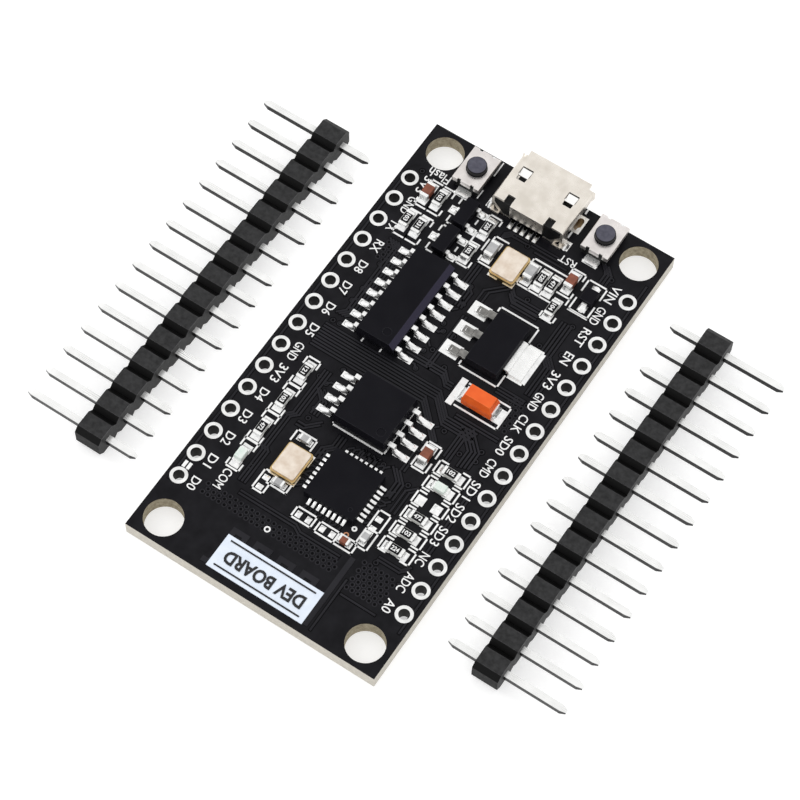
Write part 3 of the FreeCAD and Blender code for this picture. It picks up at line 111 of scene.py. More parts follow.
class CopperSettings(bpy.types.PropertyGroup):
    """Sizes of the tracks and vias that show through the mask."""

    track: FloatProperty(
        name="Track width", description="Width of a track", default=0.18 * MM, unit="LENGTH",
    )
    height: FloatProperty(
        name="Track height", description="How far a track stands up", default=0.03 * MM, unit="LENGTH",
    )
    # The dark gap is painted shade where the mask dips beside a track.
    gap: FloatProperty(
        name="Clearance", description="Dark gap beside a track", default=0.08 * MM, unit="LENGTH",
    )
    sunk: FloatProperty(
        name="Clearance height", description="Height of the gap's mask",
        default=0.006 * MM, unit="LENGTH",
    )
    layer: FloatProperty(
        name="Layer step", description="Keeps crossing tracks apart",
        default=0.0008 * MM, unit="LENGTH",
    )
    via: FloatProperty(
        name="Via radius", description="Outer radius of a via", default=0.25 * MM, unit="LENGTH",
    )
    drill: FloatProperty(
        name="Via hole radius", description="Radius of its dimple", default=0.13 * MM, unit="LENGTH",
    )
    pitch: FloatProperty(
        name="Via pitch", description="Pitch of the ground vias", default=0.56 * MM, unit="LENGTH",
    )


class SolderSettings(bpy.types.PropertyGroup):
    """Sizes of the solder joints."""

    chip_reach: FloatProperty(
        name="Chip fillet", description="Reach past a chip's end", default=0.42 * MM, unit="LENGTH",
    )
    small_reach: FloatProperty(
        name="Small chip fillet", description="Reach past a small chip's end",
        default=0.22 * MM, unit="LENGTH",
    )
    toe: FloatProperty(
        name="Toe reach", description="Solder past a small lead's toe",
        default=0.28 * MM, unit="LENGTH",
    )
    flank: FloatProperty(
        name="Flank", description="Solder beside a lead", default=0.1 * MM, unit="LENGTH",
    )
    bead: FloatProperty(
        name="Bead height", description="Height of solder round a lead",
        default=0.17 * MM, unit="LENGTH",
    )
    film: FloatProperty(
        name="Film height", description="Height of solder on a bare land",
        default=0.05 * MM, unit="LENGTH",
    )


class StageSettings(bpy.types.PropertyGroup):
    """The camera, the lights and the floor."""

    target: FloatVectorProperty(
        name="Target", description="Point in the view's middle", default=(
            0.00016, -0.00136, 0.0016,
        ), subtype="XYZ",
    )
    azimuth: FloatProperty(
        name="Azimuth", description="Turn of the view about Z", default=math.radians(
            31.61
        ), subtype="ANGLE",
    )
    elevation: FloatProperty(
        name="Elevation", description="Height of the view above the floor", default=math.radians(
            62.88
        ), subtype="ANGLE",
    )
    roll: FloatProperty(
        name="Roll", description="Turn of the camera about its own axis", default=math.radians(
            2.09
        ), subtype="ANGLE",
    )
    distance: FloatProperty(
        name="Distance", description="Camera to target", default=0.23833, unit="LENGTH",
    )
    lens: FloatProperty(name="Lens", description="Focal length in millimetres", default=124.8)
    key: FloatProperty(name="Key light", description="Power of the key light in watts", default=0.5)
    fill: FloatProperty(name="Fill light", description="Power of the fill light in watts", default=0.12)
    sky: FloatProperty(name="Sky", description="Strength of the even light all round", default=1.0)
    floor: FloatVectorProperty(
        name="Floor", description="Colour of the floor", default=(0.62, 0.62, 0.62), subtype="COLOR",
    )
    glow: FloatProperty(
        name="Floor glow", description="Light that the floor gives off itself", default=0.5,
    )


# ---------------------------------------------------------------- mesh helpers


def piece_from(bm, name, material, body="board"):
    """Makes a finished piece of a bmesh whose points are already in the row frame, in metres."""
    mesh = bpy.data.meshes.new(name)
    bmesh.ops.recalc_face_normals(bm, faces=bm.faces)
    bm.to_mesh(mesh)
    bm.free()
    piece = bpy.data.objects.new(name, mesh)
    bpy.context.scene.collection.objects.link(piece)
    mesh.materials.append(material)
    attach(piece, body)
    return piece


def islands(node):
    """The boxes (lowest corner, highest corner) of a CAD node's separate solids, in order of place."""
    copy = bmesh.new()
    copy.from_mesh(frame["nodes"][node].data)
    bmesh.ops.remove_doubles(copy, verts=copy.verts, dist=1e-6)
    boxes, seen = [], set()
    for start in copy.verts:
        if start in seen:
            continue
        seen.add(start)
        waiting, found = [start], []
        while waiting:
            vert = waiting.pop()
            found.append(vert.co.copy())
            for edge in vert.link_edges:
                other = edge.other_vert(vert)
                if other not in seen:
                    seen.add(other)
                    waiting.append(other)
        low = Vector(min(co[i] for co in found) for i in range(3))
        high = Vector(max(co[i] for co in found) for i in range(3))
        boxes.append((low, high))
    copy.free()
    boxes.sort(key=lambda box: (round(box[0].x, 5), round(box[0].y, 5)))
    return boxes


def middle(box):
    """The centre of a box."""
    return (box[0] + box[1]) / 2


def outward(point, centre):
    """The row axis, X or Y, along which a point lies furthest from a centre."""
    away = point - centre
    if abs(away.x) > abs(away.y):
        return Vector((math.copysign(1, away.x), 0, 0))
    return Vector((0, math.copysign(1, away.y), 0))


def frame_at(origin, forward):
    """A matrix whose X runs along forward and whose Z is up, at that origin."""
    side = UP.cross(forward)
    turn = Matrix((forward, side, UP)).transposed().to_4x4()
    return Matrix.Translation(origin) @ turn


def add_bar(bm, start, end, width, height, base=TOP):
    """A flat bar between two points, squared off half a width past each."""
    a, b = Vector(start).to_3d(), Vector(end).to_3d()
    run = b - a
    place = frame_at((a + b) / 2 + UP * (base + height / 2), run.normalized())
    stretch = Matrix.Diagonal((run.length + width, width, height, 1))
    bmesh.ops.create_cube(bm, size=1, matrix=place @ stretch)


def add_path(bm, points, width, height):
    """Flat bars through a list of points in millimetres."""
    for start, end in zip(points, points[1:]):
        a = (start[0] * MM, start[1] * MM)
        b = (end[0] * MM, end[1] * MM)
        add_bar(bm, a, b, width, height)


def add_mound(bm, place, surface, cuts=5):
    """A closed mound: surface(u, v) gives its top for u and v from -1 to 1, and its base is flat."""
    base = bmesh.ops.create_grid(bm, x_segments=cuts, y_segments=cuts, size=1)["verts"]
    faces = list({face for vert in base for face in vert.link_faces})
    raised = bmesh.ops.extrude_face_region(bm, geom=faces)["geom"]
    top = {part for part in raised if isinstance(part, bmesh.types.BMVert)}
    for vert in (*base, *top):
        x, y, z = surface(vert.co.x, vert.co.y)
        vert.co = place @ Vector((x, y, z if vert in top else 0))


def add_ring(bm, x, y, outer, inner, height, segments=20):
    """A flat printed ring."""
    place = Matrix.Translation((x, y, TOP))
    made = bmesh.ops.create_circle(bm, cap_ends=True, segments=segments, radius=outer, matrix=place)
    face = made["verts"][0].link_faces[0]
    rim = bmesh.ops.inset_region(bm, faces=[face], thickness=outer - inner, use_boundary=True)["faces"]
    bmesh.ops.delete(bm, geom=[face], context="FACES_ONLY")
    raised = bmesh.ops.extrude_face_region(bm, geom=rim)["geom"]
    bmesh.ops.translate(
        bm, verts=[part for part in raised if isinstance(part, bmesh.types.BMVert)], vec=UP * height,
    )


def add_words(bm, words, x, y, turn, height, length, thick, base=TOP, weight=0.004):
    """Letters with their middle at x, y, turned about Z and fitted to a height and a length."""
    curve = bpy.data.curves.new("words", "FONT")
    curve.body = words
    curve.align_x = "CENTER"
    curve.align_y = "CENTER"
    curve.resolution_u = 3
    curve.offset = weight
    curve.extrude = 0.5
    holder = bpy.data.objects.new("words", curve)
    bpy.context.scene.collection.objects.link(holder)
    bpy.context.view_layer.update()
    mesh = bpy.data.meshes.new_from_object(holder.evaluated_get(bpy.context.evaluated_depsgraph_get()))
    xs = [v.co.x for v in mesh.vertices]
    ys = [v.co.y for v in mesh.vertices]
    wide, tall = max(xs) - min(xs), max(ys) - min(ys)
    centre = Vector(((max(xs) + min(xs)) / 2, (max(ys) + min(ys)) / 2, 0))
    fit = Matrix.Diagonal((length / wide, height / tall, thick, 1)) @ Matrix.Translation(-centre)
    place = Matrix.Translation((x, y, base + thick / 2)) @ Matrix.Rotation(turn, 4, "Z")
    mesh.transform(place @ fit)
    bm.from_mesh(mesh)
    bpy.data.objects.remove(holder)
    bpy.data.curves.remove(curve)
    bpy.data.meshes.remove(mesh)


# ---------------------------------------------------------------- shader groups


def put(tree, value, socket):
    """Feeds a socket: from another socket, or with a plain value."""
    if isinstance(value, bpy.types.NodeSocket):
        tree.links.new(value, socket)
    else:
        socket.default_value = value


def add_node(tree, kind, inputs, **settings):
    """A shader node with its settings made and its inputs fed."""
    node = tree.nodes.new("ShaderNode" + kind)
    for name, value in settings.items():
        setattr(node, name, value)
    for key, value in inputs.items():
        put(tree, value, node.inputs[key])
    return node


def math_node(tree, operation, *values):
    """A math node on sockets or numbers; gives its result socket."""
    return add_node(tree, "Math", dict(enumerate(values)), operation=operation).outputs["Value"]


def noise_node(tree, vector, scale, detail=3.0, roughness=0.55):
    """A noise texture's factor."""
    inputs = {"Vector": vector, "Scale": scale, "Detail": detail, "Roughness": roughness}
    return add_node(tree, "TexNoise", inputs).outputs["Fac"]


def ramp_between(tree, value, low, high):
    """A value taken from between low and high to between 0 and 1."""
    return add_node(
        tree, "MapRange", {"Value": value, "From Min": low, "From Max": high},
    ).outputs["Result"]


def bump_node(tree, height, distance, strength):
    """A bump's normal."""
    inputs = {"Height": height, "Distance": distance, "Strength": strength}
    return add_node(tree, "Bump", inputs).outputs["Normal"]


def new_group(name, inputs, outputs):
    """A shader group with a Vector input and more; gives it and its sockets at either end."""
    group = bpy.data.node_groups.new(name, "ShaderNodeTree")
    group.interface.new_socket("Vector", in_out="INPUT", socket_type="NodeSocketVector")
    for label, value in inputs.items():
        kind = "NodeSocketVector" if isinstance(value, tuple) else "NodeSocketFloat"
        group.interface.new_socket(label, in_out="INPUT", socket_type=kind).default_value = value
    for label, kind in outputs.items():
        group.interface.new_socket(label, in_out="OUTPUT", socket_type="NodeSocket" + kind)
    return group, group.nodes.new("NodeGroupInput").outputs, group.nodes.new("NodeGroupOutput").inputs


def make_grain_group():
    """Fine surface grain: a normal, and a mask that follows the same grain."""
    group, start, end = new_group(
        "Surface grain", {"Scale": 9000.0, "Depth": 0.3}, {"Normal": "Vector", "Mask": "Float"},
    )
    fine = noise_node(group, start["Vector"], start["Scale"], 4.0)
    put(group, bump_node(group, fine, 0.012 * MM, start["Depth"]), end["Normal"])
    put(group, ramp_between(group, fine, 0.3, 0.7), end["Mask"])
    return group


def make_blotch_group():
    """Soft uneven patches: handling marks, flux and thin plating."""
    group, start, end = new_group("Uneven patches", {"Scale": 400.0, "Spread": 0.2}, {"Mask": "Float"})
    patch = noise_node(group, start["Vector"], start["Scale"], 2.0, 0.5)
    low = math_node(group, "SUBTRACT", 0.5, start["Spread"])
    high = math_node(group, "ADD", 0.5, start["Spread"])
    put(group, ramp_between(group, patch, low, high), end["Mask"])
    return group


def make_edge_group():
    """Edge wear and painted edge highlights: one where the surface turns sharply, broken up by noise."""
    group, start, end = new_group(
        "Worn edges and painted highlights", {"Radius": 0.06 * MM, "Breakup": 1500.0}, {"Mask": "Float"},
    )
    bevel = add_node(group, "Bevel", {"Radius": start["Radius"]}, samples=4)
    flat = group.nodes.new("ShaderNodeNewGeometry").outputs["True Normal"]
    dot = add_node(group, "VectorMath", {0: bevel.outputs["Normal"], 1: flat}, operation="DOT_PRODUCT")
    edge = ramp_between(group, dot.outputs["Value"], 0.995, 0.9)
    broken = ramp_between(group, noise_node(group, start["Vector"], start["Breakup"]), 0.25, 0.6)
    put(group, math_node(group, "MULTIPLY", edge, broken), end["Mask"])
    return group


def make_laminate_group():
    """The cut edge of glass-epoxy board: cloth layers and fibre ends."""
    group, start, end = new_group("Laminate edge", {}, {"Color": "Color", "Normal": "Vector"})
    layer = 0.2 * MM
    height = add_node(group, "SeparateXYZ", {"Vector": start["Vector"]}).outputs["Z"]
    wave = math_node(group, "SINE", math_node(group, "MULTIPLY", height, 2 * math.pi / layer))
    fibre = noise_node(group, start["Vector"], 2600.0, 5.0, 0.7)
    mixed = math_node(group, "ADD", math_node(group, "MULTIPLY", wave, 0.12), fibre)
    ramp = add_node(group, "ValToRGB", {"Fac": mixed})
    stops = ((0.3, (0.20, 0.17, 0.115, 1)), (0.72, (0.50, 0.45, 0.34, 1)))
    for element, (position, colour) in zip(ramp.color_ramp.elements, stops):
        element.position = position
        element.color = colour
    put(group, ramp.outputs["Color"], end["Color"])
    put(group, bump_node(group, mixed, 0.03 * MM, 0.5), end["Normal"])
    return group


def make_brush_group():
    """Drawn or brushed metal: a streaked normal and mask along one axis."""
    group, start, end = new_group(
        "Drawn streaks", {
            "Scale": (9000.0, 700.0, 9000.0), "Depth": 0.25,
        }, {"Normal": "Vector", "Mask": "Float"},
    )
    stretch = add_node(group, "VectorMath", {0: start["Vector"], 1: start["Scale"]}, operation="MULTIPLY")
    streak = noise_node(group, stretch.outputs["Vector"], 1.0, 3.0)
    put(group, bump_node(group, streak, 0.01 * MM, start["Depth"]), end["Normal"])
    put(group, ramp_between(group, streak, 0.3, 0.7), end["Mask"])
    return group


GROUP_MAKERS = {
    "Surface grain": make_grain_group,
    "Uneven patches": make_blotch_group,
    "Worn edges and painted highlights": make_edge_group,
    "Laminate edge": make_laminate_group,
    "Drawn streaks": make_brush_group,
}


# ---------------------------------------------------------------- materials


def use_group(tree, name, **values):
    """Places a shader group in a material, on Object coordinates, with its own values."""
    coordinates = tree.nodes.get("Place") or tree.nodes.new("ShaderNodeTexCoord")
    coordinates.name = "Place"
    node = tree.nodes.new("ShaderNodeGroup")
    node.node_tree = bpy.data.node_groups.get(name) or GROUP_MAKERS[name]()
    put(tree, coordinates.outputs["Object"], node.inputs["Vector"])
    for label, value in values.items():
        node.inputs[label].default_value = value
    return node


def mix_color(tree, mask, first, second, amount=1.0):
    """A colour between two, by a mask; first and second are sockets or colours."""
    if amount != 1.0:
        mask = math_node(tree, "MULTIPLY", mask, amount)
    node = add_node(tree, "Mix", {"Factor": mask}, data_type="RGBA")
    colours = [socket for socket in node.inputs if socket.type == "RGBA"]
    for socket, value in zip(colours, (first, second)):
        put(tree, value if isinstance(value, bpy.types.NodeSocket) else (*value, 1), socket)
    return [socket for socket in node.outputs if socket.type == "RGBA"][0]


def finish(
    name, base, shade, rough, metal=0.0, specular=0.5, grain=(
        9000.0, 0.3,
    ), patch=(400.0, 0.2), edge=None, brush=None,
):
    """A material of two tones in soft patches, with grain or streaks, and an edge colour for wear and
    painted highlights.

    rough is the roughness from and to; patch is scale and spread; grain and brush are scale and depth;
    edge is colour, radius and amount of the edge wear and painted highlights.
    """
    name += "_finish"
    material = bpy.data.materials.get(name)
    if material:
        return material
    material = bpy.data.materials.new(name)
    material.use_nodes = True
    tree = material.node_tree
    shader = tree.nodes["Principled BSDF"].inputs
    shader["Metallic"].default_value = metal
    shader["Specular IOR Level"].default_value = specular
    patches = use_group(tree, "Uneven patches", Scale=patch[0], Spread=patch[1]).outputs["Mask"]
    colour = mix_color(tree, patches, base, shade)
    # An edge colour stands for edge wear and painted highlights along the edges.
    if edge:
        wear_and_highlight = use_group(tree, "Worn edges and painted highlights", Radius=edge[1])
        colour = mix_color(tree, wear_and_highlight.outputs["Mask"], colour, edge[0], edge[2])
    scale, depth = brush or grain
    surface = use_group(
        tree, "Drawn streaks" if brush else "Surface grain", Scale=scale, Depth=depth,
    ).outputs
    coarse, fine = (math_node(tree, "MULTIPLY", mask, 0.5) for mask in (patches, surface["Mask"]))
    both = math_node(tree, "ADD", coarse, fine)
    roughness = add_node(tree, "MapRange", {"Value": both, "To Min": rough[0], "To Max": rough[1]})
    put(tree, colour, shader["Base Color"])
    put(tree, roughness.outputs["Result"], shader["Roughness"])
    put(tree, surface["Normal"], shader["Normal"])
    return material


def axis_sockets(tree, output):
    """The X, Y and Z sockets of the material's Object or Normal coordinates."""
    return add_node(tree, "SeparateXYZ", {"Vector": tree.nodes["Place"].outputs[output]}).outputs


def facing(tree, axis, limit=0.5):
    """A mask of the surfaces that face either way along an axis."""
    return math_node(
        tree, "GREATER_THAN", math_node(tree, "ABSOLUTE", axis_sockets(tree, "Normal")[axis]), limit,
    )


def near(tree, value, centre, reach):
    """A mask that is one where a value is within a reach of a centre."""
    away = math_node(tree, "ABSOLUTE", math_node(tree, "SUBTRACT", value, centre))
    return math_node(tree, "LESS_THAN", away, reach)


def all_of(tree, *masks):
    """A mask that is one where all of them are."""
    both = masks[0]
    for mask in masks[1:]:
        both = math_node(tree, "MULTIPLY", both, mask)
    return both


def source(tree, name):
    """What feeds one of the shader's inputs now."""
    return tree.nodes["Principled BSDF"].inputs[name].links[0].from_socket


def tint(material, mask, colour, amount=1.0):
    """Lays a colour over a material's own where the mask is one."""
    tree = material.node_tree
    over = mix_color(tree, mask, source(tree, "Base Color"), colour, amount)
    put(tree, over, tree.nodes["Principled BSDF"].inputs["Base Color"])


def roughen(material, mask, least):
    """Raises a material's roughness to a least value where the mask is one."""
    tree = material.node_tree
    rougher = math_node(
        tree, "MAXIMUM", source(tree, "Roughness"), math_node(tree, "MULTIPLY", mask, least),
    )
    put(tree, rougher, tree.nodes["Principled BSDF"].inputs["Roughness"])


# Chip epoxy; its edge colour is a painted highlight along the edges.
EPOXY = dict(
    base=(0.0045, 0.0043, 0.0066), shade=(0.0072, 0.007, 0.0095), rough=(0.45, 0.62), specular=0.07,
    grain=(8200.0, 0.6), patch=(500.0, 0.25), edge=((0.06, 0.06, 0.07), 0.06 * MM, 0.6),
)
FINISHES = {
    # mask over copper: a little lighter and smoother than over bare board
    "mask_over_copper": dict(
        base=(0.0095, 0.0092, 0.0122), shade=(0.017, 0.0165, 0.0205), rough=(0.26, 0.4), specular=0.16,
        grain=(5200.0, 0.2), patch=(300.0, 0.25),
    ),
    # painted shade: nearly black where the mask dips into the gap beside a track or into a via
    "painted_shade_mask_dips": dict(
        base=(0.0012, 0.0012, 0.0016), shade=(0.0022, 0.0022, 0.0028), rough=(0.4, 0.6), specular=0.05,
        grain=(5200.0, 0.2), patch=(600.0, 0.25),
    ),
    # tin plating and bare solder-coated copper
    "bright_tin": dict(
        base=(0.97, 0.97, 0.96), shade=(0.84, 0.84, 0.83), rough=(0.18, 0.4), metal=0.72,
        grain=(7000.0, 0.35), patch=(1300.0, 0.22),
    ),
    # tin plating of the regulator's leads, painted darker than the lands they stand on as painted shade,
    # with painted highlights on the edges
    "tin_in_painted_shade": dict(
        base=(0.36, 0.35, 0.33), shade=(0.05, 0.05, 0.05), rough=(0.2, 0.4), metal=0.9,
        grain=(5000.0, 0.4), patch=(2400.0, 0.5), edge=((0.95, 0.95, 0.93), 0.06 * MM, 0.8),
    ),
    # reflowed solder, bright with soft ripples
    "reflowed_solder": dict(
        base=(0.98, 0.98, 0.97), shade=(0.78, 0.78, 0.78), rough=(0.1, 0.3), metal=0.85,
        grain=(3200.0, 0.4), patch=(2100.0, 0.2),
    ),
    "thin_gold": dict(
        base=(0.86, 0.64, 0.27), shade=(0.7, 0.5, 0.2), rough=(0.2, 0.36), metal=1.0, patch=(1500.0, 0.2),
    ),
    # bright stamped steel of the button covers, with painted highlights on its edges
    "stamped_steel": dict(
        base=(0.83, 0.79, 0.77), shade=(0.68, 0.64, 0.62), rough=(0.22, 0.4), metal=0.9,
        grain=(3800.0, 0.4), patch=(900.0, 0.2), edge=((1.0, 1.0, 0.98), 0.07 * MM, 0.8),
    ),
    # matt black moulding of the insulators and button bases, with painted highlights on its edges
    "black_moulding": dict(
        base=(0.0062, 0.0062, 0.0064), shade=(0.0115, 0.0115, 0.012), rough=(0.42, 0.62), specular=0.14,
        grain=(5200.0, 0.7), patch=(700.0, 0.25), edge=((0.085, 0.085, 0.09), 0.07 * MM, 0.75),
    ),
    "chip_epoxy": EPOXY,
    # gold-plated rim of the crystals
    "welded_rim": dict(
        base=(
            0.72, 0.52, 0.24,
        ), shade=(0.5, 0.35, 0.15), rough=(0.25, 0.4), metal=1.0, patch=(1600.0, 0.2),
    ),
    # warm brushed lid of the crystals, with painted highlights on its edges
    "brushed_lid": dict(
        base=(0.7, 0.585, 0.475), shade=(0.85, 0.76, 0.66), rough=(0.28, 0.45), metal=0.7,
        brush=((2500.0, 6000.0, 6000.0), 0.4), patch=(1500.0, 0.2), edge=(
            (1.0, 0.92, 0.8), 0.08 * MM, 0.6,
        ),
    ),
    # satin moulding of the tantalum capacitor, with painted highlights on its edges
    "orange_moulding": dict(
        base=(0.84, 0.135, 0.022), shade=(0.74, 0.1, 0.014), rough=(0.35, 0.52), specular=0.25,
        grain=(4200.0, 0.5), patch=(1100.0, 0.25), edge=((1.0, 0.36, 0.12), 0.08 * MM, 0.5),
    ),
    # resistors and the bases of the light-emitting diodes
    "white_ceramic": dict(
        base=(
            0.72, 0.72, 0.7,
        ), shade=(0.6, 0.6, 0.58), rough=(0.45, 0.6), grain=(6000.0, 0.4), patch=(2000.0, 0.2),
    ),
    "resistor_glaze": dict(
        base=(0.006, 0.006, 0.007), shade=(0.01, 0.01, 0.011), rough=(0.25, 0.4), specular=0.12,
        grain=(4000.0, 0.3), patch=(1500.0, 0.2),
    ),
    "brown_ceramic": dict(
        base=(0.26, 0.085, 0.05), shade=(0.17, 0.056, 0.034), rough=(0.3, 0.48), specular=0.25,
        grain=(5000.0, 0.4), patch=(1700.0, 0.2),
    ),
    "grey_ceramic": dict(
        base=(0.48, 0.48, 0.48), shade=(0.36, 0.36, 0.365), rough=(0.4, 0.55),
        grain=(5000.0, 0.4), patch=(1700.0, 0.2),
    ),
    # white legend ink, slightly thin in places
    "legend_ink": dict(
        base=(0.94, 0.94, 0.935), shade=(0.78, 0.78, 0.775), rough=(0.45, 0.6), specular=0.3,
        grain=(6000.0, 0.5), patch=(2600.0, 0.3),
    ),
    # the broad white field: slightly blue, in faint streaks from the squeegee
    "panel_ink": dict(
        base=(0.8, 0.86, 0.94), shade=(0.68, 0.75, 0.86), rough=(0.4, 0.55), specular=0.3,
        brush=((5200.0, 300.0, 5200.0), 0.2), patch=(1500.0, 0.35),
    ),
    # black lettering on the white panel
    "panel_lettering": dict(
        base=(
            0.012, 0.012, 0.014,
        ), shade=(0.02, 0.02, 0.022), rough=(0.4, 0.55), specular=0.3, patch=(2000.0, 0.2),
    ),
    # the one unmasked via
    "bare_copper": dict(
        base=(
            0.62, 0.3, 0.17,
        ), shade=(0.45, 0.2, 0.11), rough=(0.3, 0.45), metal=0.9, patch=(2500.0, 0.2),
    ),
}


def plain(name):
    """A finish straight from the table."""
    return finish(name, **FINISHES[name])


def mask_material():
    """Black solder mask on the faces, bare laminate on the cut edges and in the mounting holes."""
    material = finish(
        "black_solder_mask", (
            0.0045, 0.0043, 0.0058,
        ), (0.0095, 0.0092, 0.0115), (0.3, 0.46), specular=0.1,
        grain=(5200.0, 0.35), patch=(900.0, 0.2),
    )
    tree = material.node_tree
    smooth = source(tree, "Normal")
    side = math_node(tree, "SUBTRACT", 1.0, facing(tree, "Z"))
    x, y, _ = axis_sockets(tree, "Object")
    past_x = math_node(tree, "GREATER_THAN", math_node(tree, "ABSOLUTE", x), BOARD_HIGH.x - 0.2 * MM)
    past_y = math_node(tree, "GREATER_THAN", math_node(tree, "ABSOLUTE", y), BOARD_HIGH.y - 0.2 * MM)
    rim = math_node(tree, "MAXIMUM", past_x, past_y)
    edge = use_group(tree, "Laminate edge").outputs
    tint(material, side, mix_color(tree, rim, edge["Color"], (0.72, 0.7, 0.66), 0.55))
    roughen(material, side, 0.75)
    normal = add_node(tree, "Mix", {0: side}, data_type="VECTOR")
    vectors = [s for s in normal.inputs if s.type == "VECTOR" and not s.name.startswith("Factor")]
    put(tree, smooth, vectors[0])
    put(tree, edge["Normal"], vectors[1])
    mixed = [s for s in normal.outputs if s.type == "VECTOR"][0]
    put(tree, mixed, tree.nodes["Principled BSDF"].inputs["Normal"])
    return material


def barrel_material(name, wall_shade):
    """Tin-plated pads whose hole walls are duller, and darker with painted shade inside the holes."""
    material = finish(
        name, (
            0.96, 0.96, 0.95,
        ), (0.74, 0.74, 0.73), (0.18, 0.4), metal=1.0, grain=(6000.0, 0.4), patch=(1700.0, 0.22),
    )
    side = math_node(material.node_tree, "SUBTRACT", 1.0, facing(material.node_tree, "Z"))
    # Painted shade: the hole walls take the darker colour.
    tint(material, side, wall_shade)
    roughen(material, side, 0.5)
    return material


def pin_material():
    """Drawn square pins, tin plated; the side towards -Y is painted near black, a painted reflection of
    dark surroundings.
    """
    material = finish(
        "drawn_pins", (0.95, 0.95, 0.94), (0.8, 0.8, 0.79), (0.16, 0.34), metal=0.6, specular=0.12,
        brush=((500.0, 9000.0, 9000.0), 0.3), patch=(700.0, 0.25),
    )
    tree = material.node_tree
    painted_dark_side = math_node(tree, "LESS_THAN", axis_sockets(tree, "Normal")["Y"], -0.6)
    # Painted reflection: the faces towards -Y are painted near black.
    tint(material, painted_dark_side, (0.002, 0.002, 0.002))
    return material


def header_material():
    """Fine-grained moulding of the loose headers, with painted shade, deep black, in the V grooves between
    the cells, and painted highlights on its edges.
    """
    material = finish(
        "header_moulding", (0.017, 0.017, 0.0175), (0.036, 0.036, 0.037), (0.42, 0.62), specular=0.14,
        grain=(4200.0, 0.9), patch=(2600.0, 0.22), edge=((0.16, 0.16, 0.165), 0.06 * MM, 0.85),
    )
    # Painted shade: faces that face along Y, the walls of the V grooves, are painted near black.
    tint(material, facing(material.node_tree, "Y", 0.4), (0.0012, 0.0012, 0.0012))
    return material


def shell_material():
    """Nickel-plated sheet steel, warm and faintly pebbled, with painted highlights on its edges, painted
    shade inside, and two leaves on top in painted highlight, each ringed with painted shade.
    """
    material = finish(
        "warm_nickel", (0.84, 0.79, 0.72), (0.7, 0.65, 0.58), (0.2, 0.4), metal=0.9,
        grain=(2600.0, 0.45), patch=(900.0, 0.2), edge=((1.0, 0.98, 0.94), 0.08 * MM, 0.7),
    )
    tree = material.node_tree
    low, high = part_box("usb_shell")
    x, y, z = axis_sockets(tree, "Object")
    aside = math_node(tree, "ABSOLUTE", x)
    inside = all_of(
        tree,
        math_node(tree, "LESS_THAN", aside, high.x - 0.75 * MM),
        math_node(tree, "LESS_THAN", z, high.z - 0.75 * MM),
        math_node(tree, "GREATER_THAN", y, low.y + 0.45 * MM),
    )
    # Painted shade: the socket's inner walls are painted near black.
    tint(material, inside, (0.01, 0.01, 0.01))
    leaf_x, leaf_y = 2.4 * MM, high.y - 2.16 * MM
    on_top = all_of(
        tree,
        near(tree, aside, leaf_x, 0.56 * MM),
        near(tree, y, leaf_y, 0.39 * MM),
        math_node(tree, "GREATER_THAN", z, high.z - 0.4 * MM),
    )
    # Painted shade round each leaf, then a painted highlight on the leaf itself.
    tint(material, on_top, (0.2, 0.18, 0.16))
    tint(material, all_of(tree, on_top, near(tree, aside, leaf_x, 0.49 * MM)), (1.0, 0.99, 0.97))
    return material


def contact_material():
    """Gold inside the socket, painted shade on the risers just behind it, and bright tin on the tails that
    are soldered down.
    """
    material = finish("thin_gold_contacts", (0.5, 0.36, 0.15), (0.34, 0.24, 0.1), (0.2, 0.36), metal=0.9)
    tree = material.node_tree
    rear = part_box("usb_shell")[0].y
    y = axis_sockets(tree, "Object")["Y"]
    # Painted shade: the contacts from just behind the socket's rear to 0.5 mm inside it are painted nearly
    # black.
    tint(material, math_node(tree, "LESS_THAN", y, rear + 0.5 * MM), (0.02, 0.018, 0.015))
    tint(material, math_node(tree, "LESS_THAN", y, rear - 0.1 * MM), (0.97, 0.97, 0.96))
    return material


def plunger_material():
    """Blue-grey moulding of the button plungers, with a textured top and painted shade, near black, on
    their sides.
    """
    material = finish(
        "grey_moulding", (0.06, 0.06, 0.082), (0.095, 0.094, 0.122), (0.4, 0.6), specular=0.2,
        grain=(4200.0, 0.9), patch=(2600.0, 0.22),
    )
    tree = material.node_tree
    # Painted shade: every face but the top is painted near black.
    tint(material, math_node(tree, "SUBTRACT", 1.0, facing(tree, "Z", 0.97)), (0.003, 0.003, 0.005))
    return material


def bevelled_chip_material():
    """The chips' epoxy, with a painted lilac highlight on the bevel along one side."""
    material = finish("bevelled_epoxy", **EPOXY)
    tree = material.node_tree
    x, _, z = axis_sockets(tree, "Normal")
    # Painted highlight: faces tilted up towards +X are tinted a lighter lilac.
    tint(material, ramp_between(tree, math_node(tree, "MULTIPLY", x, z), 0.3, 0.45), (0.033, 0.03, 0.05))
    return material


def resin_material():
    """Cloudy clear resin of the light-emitting diodes."""
    material = finish(
        "cloudy_resin", (
            0.93, 0.97, 0.93,
        ), (0.74, 0.86, 0.78), (0.18, 0.3), grain=(3000.0, 0.3), patch=(2600.0, 0.2),
    )
    material.node_tree.nodes["Principled BSDF"].inputs["Transmission Weight"].default_value = 0.15
    return material


